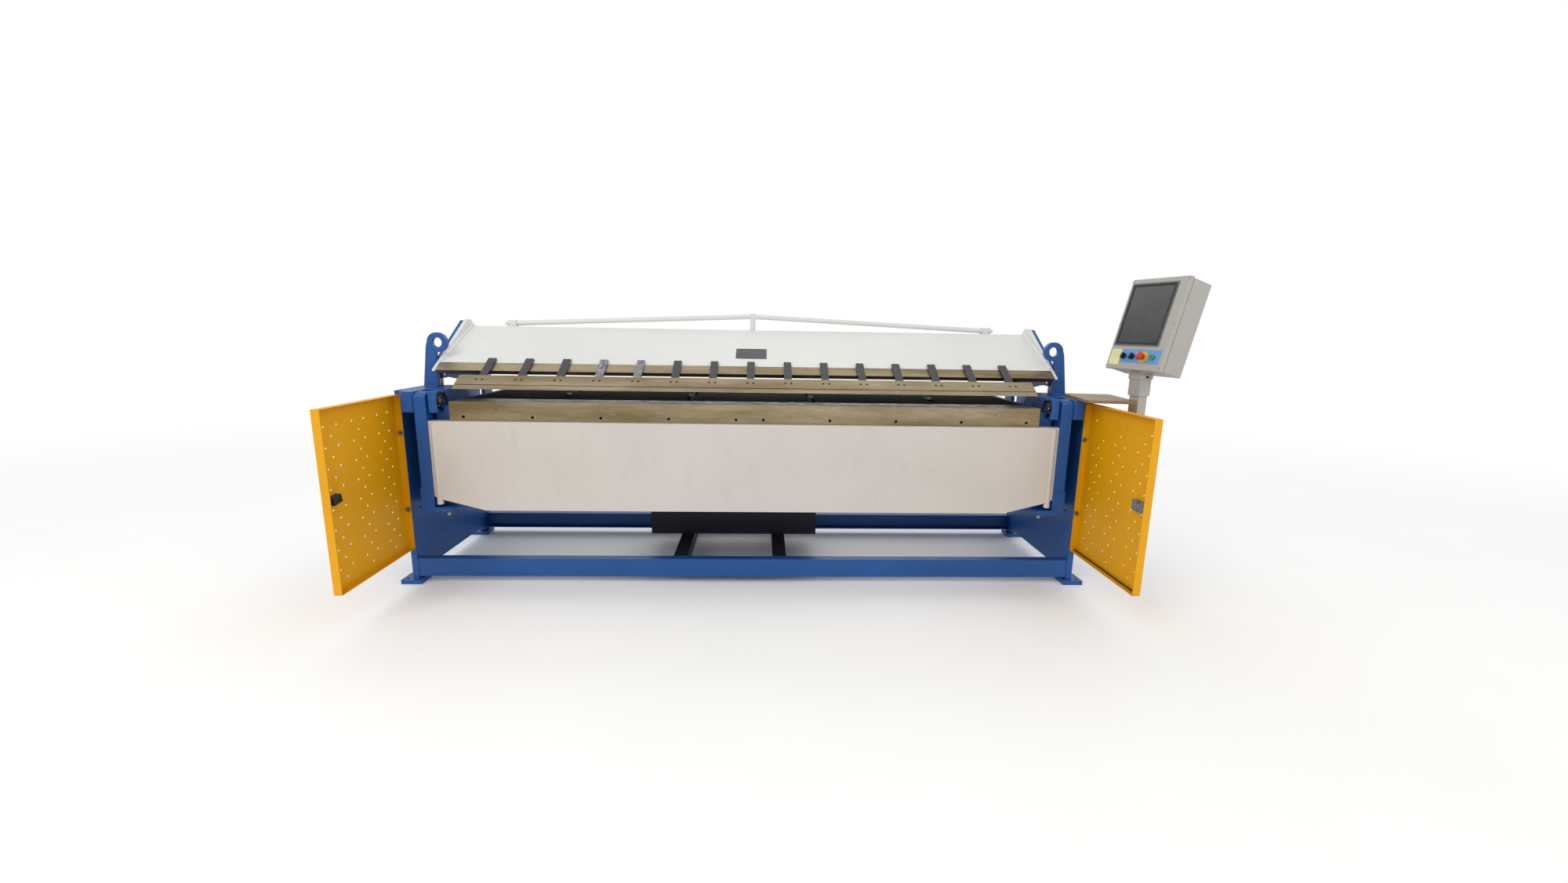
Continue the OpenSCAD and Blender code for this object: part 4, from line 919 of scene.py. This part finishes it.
# %% [markdown]
# ## Guard bolt rims
# Each guard is bolted to the side frame, and a washer spreads the bolt's load over the thin sheet. Only its
# rim shows round the head, so it is a flat ring with a hole for the bolt.

# %% Guard bolt rims
BOLTS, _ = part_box("guard_bolts")
BOLT_X, BOLT_Z = 1.827, (0.420, 0.838)
WASHER = [(0.0055, 0), (0.0125, 0), (0.0125, 0.0016), (0.0055, 0.0016)]


def washers(side):
    """Ring under each bolt's head, facing the front."""
    for z in BOLT_Z:
        yield lathe(WASHER, (side * BOLT_X, BOLTS.y, z), (0, -1, 0), 28, loop=True)


piece("guard_bolt_rims", both(washers), "frame", "zinc", smooth=True)
print("washers at x", BOLT_X)

# %% [markdown]
# ## Label and note on the console
# The console leans back and is turned to the operator. One matrix holds that place, and everything on its
# front is given in the plane of the front: across, up and out. A printed label backs the buttons, and a
# blank note is stuck beside it. Both are thin slabs, because a real label has an edge that catches the
# light.

# %% Label and note on the console
CASE_X, CASE_Y, CASE_Z = 2.036, -0.100, 1.212
CASE_W, CASE_FRONT = 0.337, -0.075
console_turn, console_lean = math.radians(-75), math.radians(-15)
console_frame = (Matrix.Translation((CASE_X, CASE_Y, CASE_Z)) @ Matrix.Rotation(console_turn, 4, "Z")
                 @ Matrix.Rotation(console_lean, 4, "X"))
outward = np.array(console_frame.to_3x3() @ Vector((0, -1, 0)))


def on_case(across, up, out):
    """Point across from the case's left edge, up its front and out in front of it."""
    return np.array(console_frame @ Vector((across - CASE_W / 2, CASE_FRONT - out, up)))


def face_slab(left, right, low, high, back, front):
    """Thin block on the case's front."""
    outline = [(left, low), (right, low), (right, high), (left, high)]
    return eight_corners([on_case(across, up, out) for out in (back, front) for across, up in outline])


label = face_slab(0.082, 0.315, 0.034, 0.104, 0.0, 0.0006)
note = face_slab(0.014, 0.078, 0.020, 0.104, 0.0, 0.0004)
piece("button_label", label, "console", "blue_vinyl")
piece("paper_note", note, "console", "note_paper")
print("the console front faces", outward.round(2))

# %% [markdown]
# ## Screen bezel and display
# A grey bezel frames the touch screen, and inside the black print lies the display. Four slabs make the
# bezel, two of them full width, as a glazing bead is cut.

# %% Screen bezel and display
SCREEN_LEFT, SCREEN_LOW, SCREEN_W, SCREEN_H = 0.015, 0.123, 0.269, 0.332
BEZEL, PRINT = 0.007, 0.019
BEZEL_OUT = (0.0014, 0.0024)
left, right = SCREEN_LEFT, SCREEN_LEFT + SCREEN_W
low, high = SCREEN_LOW, SCREEN_LOW + SCREEN_H
rim = [face_slab(left, right, low, low + BEZEL, *BEZEL_OUT),
       face_slab(left, right, high - BEZEL, high, *BEZEL_OUT),
       face_slab(left, left + BEZEL, low + BEZEL, high - BEZEL, *BEZEL_OUT),
       face_slab(right - BEZEL, right, low + BEZEL, high - BEZEL, *BEZEL_OUT)]
display = face_slab(left + PRINT, right - PRINT, low + PRINT, high - PRINT, 0.0002, 0.0009)
piece("screen_bezel", join(rim), "console", "screen_rim")
piece("screen_display", display, "console", "display")
print("display", round(SCREEN_W - 2 * PRINT, 3), "by", round(SCREEN_H - 2 * PRINT, 3), "m")

# %% [markdown]
# ## Stop button
# The stop button has a domed mushroom cap on a stem, so that a flat hand can hit it. The CAD has a plain
# cylinder there for collision, and this turned shape stands for it.

# %% Stop button
BUTTON_SHARES = (0.30, 0.45, 0.645, 0.81)
BUTTON_UP = 0.067
CAP = [(0.0175, 0.0212), (0.020, 0.0235), (0.0206, 0.027), (0.0200, 0.031), (0.0165, 0.0345), (0.009, 0.0362),
       (0.003, 0.0366)]
STEM = [(0.011, -0.013), (0.011, 0.0214)]
button_x = [share * CASE_W for share in BUTTON_SHARES]
stop_place = on_case(button_x[2], BUTTON_UP, 0)
mushroom = join([lathe(CAP, stop_place, outward, 48), lathe(STEM, stop_place, outward, 32)])
stop = piece("stop_mushroom", mushroom, "stop", "red_plastic", smooth=True)
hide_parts("stop_button")
print("mushroom", round(2000 * max(r for r, _ in CAP), 1), "mm wide")

# %% [markdown]
# ## Selector marks
# A white line along each selector's grip shows where it points. It is printed on the real one and a thin
# slab here, and it turns with its selector.

# %% Selector marks
MARK_HALF, MARK_FROM, MARK_TO = 0.001, 0.002, 0.0145
for who, x in zip(("left_switch", "right_switch"), button_x):
    mark = face_slab(x - MARK_HALF, x + MARK_HALF, BUTTON_UP + MARK_FROM, BUTTON_UP + MARK_TO, 0.0219, 0.0223)
    piece(who + "_mark", mark, who, "white_nylon")
print("marks", round(MARK_TO - MARK_FROM, 4), "m long")

# %% [markdown]
# ## Console screws
# Six small screws hold the cover on the case, and one cap screw clamps the sleeve on the post, so that the
# console stays where it is turned to.

# %% Console screws
COVER_IN = 0.007
CLAMP_Z, CLAMP_OUT = 1.193, 0.039
cover_screws = [socket_head(on_case(x, up, -BITE), outward, 0.0038, 0.0012, 20)
                for x in (COVER_IN, CASE_W - COVER_IN) for up in (0.012, 0.240, 0.466)]
sideways = np.array([math.cos(console_turn), math.sin(console_turn), 0.0])
clamp_place = np.array([CASE_X, CASE_Y, CLAMP_Z]) + CLAMP_OUT * sideways
clamp_screw = socket_head(clamp_place, sideways, 0.0055, 0.006, 24)
piece("console_cover_screws", join(cover_screws), "console", "zinc", smooth=True)
piece("sleeve_clamp_screw", clamp_screw, "console", "black_screw", smooth=True)
print("console screws", len(cover_screws) + 1)

# %% [markdown]
# ## Tank lid and sight glass
# The closed oil tank has a lid on two rows of bolts, and a sight glass on its rear wall to read the level:
# a glass tube between two turned fittings.

# %% Tank lid and sight glass
TANK_LOW, TANK_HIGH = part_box("oil_tank")
MOTOR_LOW, MOTOR_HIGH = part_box("pump_motor")
BOLT_IN_X, BOLT_IN_Y = 0.02, 0.0125
GLASS_IN, FITTING_Z = 0.20, (0.30, 0.42)
FITTING = [(0.010, 0), (0.010, 0.006), (0.007, 0.008)]
lid_x = np.linspace(TANK_LOW.x + BOLT_IN_X, TANK_HIGH.x - BOLT_IN_X, 9)
lid_y = (TANK_LOW.y + BOLT_IN_Y, TANK_HIGH.y - BOLT_IN_Y)
lid_bolts = [hex_head((x, y, MOTOR_LOW.z), (0, 0, 1), 0.0065, 0.005) for x in lid_x for y in lid_y]
glass_x = TANK_LOW.x + GLASS_IN
sight = [lathe(FITTING, (glass_x, TANK_HIGH.y - 0.012, z), (0, 1, 0), 24) for z in FITTING_Z]
sight.append(sweep([(glass_x, TANK_HIGH.y - 0.0045, z) for z in np.linspace(0.302, 0.418, 6)], 0.006, 16))
piece("tank_lid_bolts", join(lid_bolts), "frame", "zinc", smooth=True)
piece("tank_sight_glass", join(sight), "frame", "zinc", smooth=True)
print("lid bolts", len(lid_bolts))

# %% [markdown]
# ## Motor ribs and terminal box
# The pump's motor is cooled by ribs cast along its barrel, which leave room for the terminal box on top.
# Each rib is a thin tube half sunk in the barrel, which reads as a rounded casting.

# %% Motor ribs and terminal box
MOTOR_Z, BARREL_R, RIB_OUT = 0.607, 0.088, 0.002
RIB_X = (-0.125, 0.155)
BOX_FROM, BOX_TO = 65, 115
TERMINAL_X, TERMINAL_Y = (-0.036, 0.056), (-0.036, 0.036)
motor_y = (TANK_LOW.y + TANK_HIGH.y) / 2


def rib(t):
    """Rib along X at angle t: (y, z) = axis + R (cos t, sin t)."""
    y, z = motor_y + (BARREL_R + RIB_OUT) * math.cos(t), MOTOR_Z + (BARREL_R + RIB_OUT) * math.sin(t)
    return sweep([(x, y, z) for x in np.linspace(*RIB_X, 5)], 0.0035, 6)


ribs = [rib(math.radians(t)) for t in range(-80, 261, 12) if not BOX_FROM < t < BOX_TO]
box_screws = [socket_head((x, motor_y + dy, MOTOR_HIGH.z), (0, 0, 1), 0.0035, 0.003, 18)
              for x in TERMINAL_X for dy in TERMINAL_Y]
piece("motor_cooling_ribs", join(ribs), "frame", "cast_grey", smooth=True)
piece("terminal_box_screws", join(box_screws), "frame", "zinc", smooth=True)
print("ribs", len(ribs))

# %% [markdown]
# ## Port plugs
# Hydraulic ports that aren't in use are closed by hexagon plugs: two in the back of each pivot housing and
# one at each end of a clamp cylinder. The hoses run inside the frame, so none are drawn.

# %% Port plugs
CYLINDER_LOW, CYLINDER_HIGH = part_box("right_clamp_cylinder")
PORT_X, PORT_Z = (1.735, 1.785), 0.985
cylinder_x = (CYLINDER_LOW.x + CYLINDER_HIGH.x) / 2


def ports(side):
    """Two plugs behind the pivot housing, then one at each end of the cylinder."""
    for x in PORT_X:
        yield hex_head((side * x, HOUSING_HIGH.y, PORT_Z), (0, 1, 0), 0.011, 0.010)
    low_port = (CYLINDER_LOW.y, CYLINDER_LOW.z + 0.015)
    high_port = (CYLINDER_LOW.y + 0.0068, CYLINDER_HIGH.z - 0.022)
    for y, z in (low_port, high_port):
        yield hex_head((side * cylinder_x, y, z), (0, -1, 0), 0.010, 0.012)


piece("port_plugs", both(ports), "frame", "zinc", smooth=True)
print("cylinder ports at x", round(cylinder_x, 3))

# %% [markdown]
# ## Back gauge details
# The gauge bar sets how deep the sheet goes in. A cap screw holds each of its stops, and a toothed belt
# closes the slot of each linear module that drives it. The teeth face inwards, so the belt is a plain
# strip.

# %% Back gauge details
_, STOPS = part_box("gauge_fingers")
MODULE_LOW, MODULE_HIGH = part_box("gauge_modules")
STOP_X = [-1.05 + 0.70 * k for k in range(4)]
MODULE_X, BELT_HALF, BELT_END = 0.700, 0.010, 0.004
stop_screws = [socket_head((x, STOPS.y - 0.010, STOPS.z), (0, 0, 1), 0.0045, 0.004, 20) for x in STOP_X]
belts = [block((x - BELT_HALF, MODULE_LOW.y + BELT_END, MODULE_HIGH.z - 0.0001),
               (x + BELT_HALF, MODULE_HIGH.y - BELT_END, MODULE_HIGH.z + 0.0002))
         for x in (-MODULE_X, MODULE_X)]
piece("gauge_stop_screws", join(stop_screws), "gauge", "black_screw", smooth=True)
piece("gauge_belts", join(belts), "frame", "cable_rubber")
print("belts", round(MODULE_HIGH.y - MODULE_LOW.y - 2 * BELT_END, 3), "m long")

# %% [markdown]
# ## Floor
# A pale floor takes the machine's shadow. Further out it turns into the white background, for the rays that
# see it as a background, so no horizon cuts the picture. A curved backdrop does that in a studio, but it
# would have to be behind the machine from every side.

# %% Floor
FLOOR_HALF = 90.0
FADE_FROM, FADE_TO = 2.2, 8.0


def background_rays(tree):
    """1 for the rays that show the background: from the camera, off metal, or through glass."""
    rays = add(tree, "LightPath").outputs
    mirrored = calc(tree, "MAXIMUM", rays["Is Glossy Ray"], rays["Is Transmission Ray"])
    return calc(tree, "MAXIMUM", rays["Is Camera Ray"], mirrored)


def floor_finish():
    """Painted screed, nearly white, turning to a white glow between the two distances."""
    material, tree, shader, coords = start("pale studio floor")
    clouds = remap(tree, noise(tree, coords, 600, 3), 0.3, 0.7, 0.98, 1.0)
    colour = add(tree, "HueSaturation", {"Color": lin("fafaf9"), "Value": clouds}).outputs[0]
    tree.links.new(colour, shader.inputs["Base Color"])
    shader.inputs["Roughness"].default_value = 0.7
    flattened = {0: stretch(tree, coords, (0.75, 1, 1))}
    oval = add(tree, "VectorMath", flattened, operation="LENGTH").outputs["Value"]
    fade = remap(tree, oval, FADE_FROM, FADE_TO, 0, 1, "SMOOTHSTEP")
    far = calc(tree, "MULTIPLY", fade, background_rays(tree))
    glow = add(tree, "Emission", {"Color": (1, 1, 1, 1), "Strength": 1.0}).outputs[0]
    mixed = add(tree, "MixShader", {0: far, 1: shader.outputs[0], 2: glow}).outputs[0]
    output = next(node for node in tree.nodes if node.type == "OUTPUT_MATERIAL")
    tree.links.new(mixed, output.inputs["Surface"])
    return material


ground = bpy.data.meshes.new("floor")
square = [(-FLOOR_HALF, -FLOOR_HALF, 0), (FLOOR_HALF, -FLOOR_HALF, 0), (FLOOR_HALF, FLOOR_HALF, 0),
          (-FLOOR_HALF, FLOOR_HALF, 0)]
ground.from_pydata(square, [], [(0, 1, 2, 3)])
ground.materials.append(floor_finish())
floor = bpy.data.objects.new("floor", ground)
bpy.context.collection.objects.link(floor)
print("the floor turns white", FADE_TO, "m out")

# %% [markdown]
# ## Lamps and sky
# A large soft lamp in front on the left gives the shape, a weaker one on the right opens the shadows, and
# one from behind draws the upper edges. The sky is even and a little weaker than white, so that pale paint
# keeps its colour, but whoever sees the sky directly sees plain white.

# %% Lamps and sky
SKY, WHITE = 0.86, 1.0


def soft_lamp(name, place, target, size, power):
    """Square lamp, size metres wide and power watts strong, with its -Z axis pointed at the target."""
    data = bpy.data.lights.new(name, "AREA")
    data.shape, data.size, data.energy = "SQUARE", size, power
    lamp = bpy.data.objects.new(name, data)
    bpy.context.collection.objects.link(lamp)
    lamp.location = place
    lamp.rotation_euler = (Vector(target) - Vector(place)).to_track_quat("-Z", "Y").to_euler()


soft_lamp("key light", (-3.2, -4.5, 4.6), (0, 0.2, 0.8), 3.0, 110)
soft_lamp("fill light", (4.5, -4.0, 3.0), (0.5, 0.2, 0.9), 3.5, 30)
soft_lamp("rear light", (0.5, 5.0, 4.5), (0, 0.4, 1.0), 4.0, 70)
world = bpy.data.worlds.new("studio sky")
bpy.context.scene.world = world
world.use_nodes = True
sky = world.node_tree
backdrop = next(node for node in sky.nodes if node.type == "BACKGROUND")
backdrop.inputs["Color"].default_value = (1, 1, 1, 1)
sky.links.new(remap(sky, background_rays(sky), 0, 1, SKY, WHITE), backdrop.inputs["Strength"])
print("lamps", len(bpy.data.lights), "sky", SKY)

# %% [markdown]
# ## Camera
# The camera stands in front of the middle, at the height of a person's chest, and looks slightly down. Its
# lens is wide, because the machine is long and the camera close. Three angles turn it: yaw about the
# vertical, pitch below the horizon, and a small roll about the line of sight. A matrix of three directions
# holds them without any doubt about the order.

# %% Camera
LENS, SENSOR = 13.752, 36
STAND = (0.066, -3.166, 1.409)
yaw, pitch, roll = math.radians(-2.14), math.radians(10.69), math.radians(0.97)
level_right = Vector((math.cos(yaw), math.sin(yaw), 0))
level_ahead = Vector((-math.sin(yaw), math.cos(yaw), 0))
ahead = math.cos(pitch) * level_ahead - Vector((0, 0, math.sin(pitch)))
steep_up = math.sin(pitch) * level_ahead + Vector((0, 0, math.cos(pitch)))
rolled_right = math.cos(roll) * level_right + math.sin(roll) * steep_up
rolled_up = math.cos(roll) * steep_up - math.sin(roll) * level_right
lens = bpy.data.cameras.new("camera")
lens.sensor_width, lens.lens = SENSOR, LENS
camera = bpy.data.objects.new("camera", lens)
bpy.context.collection.objects.link(camera)
facing = Matrix((rolled_right, rolled_up, -ahead)).transposed().to_4x4()
camera.matrix_world = Matrix.Translation(STAND) @ facing
bpy.context.scene.camera = camera
bpy.context.scene.view_settings.view_transform = "Standard"
print("camera at", STAND)
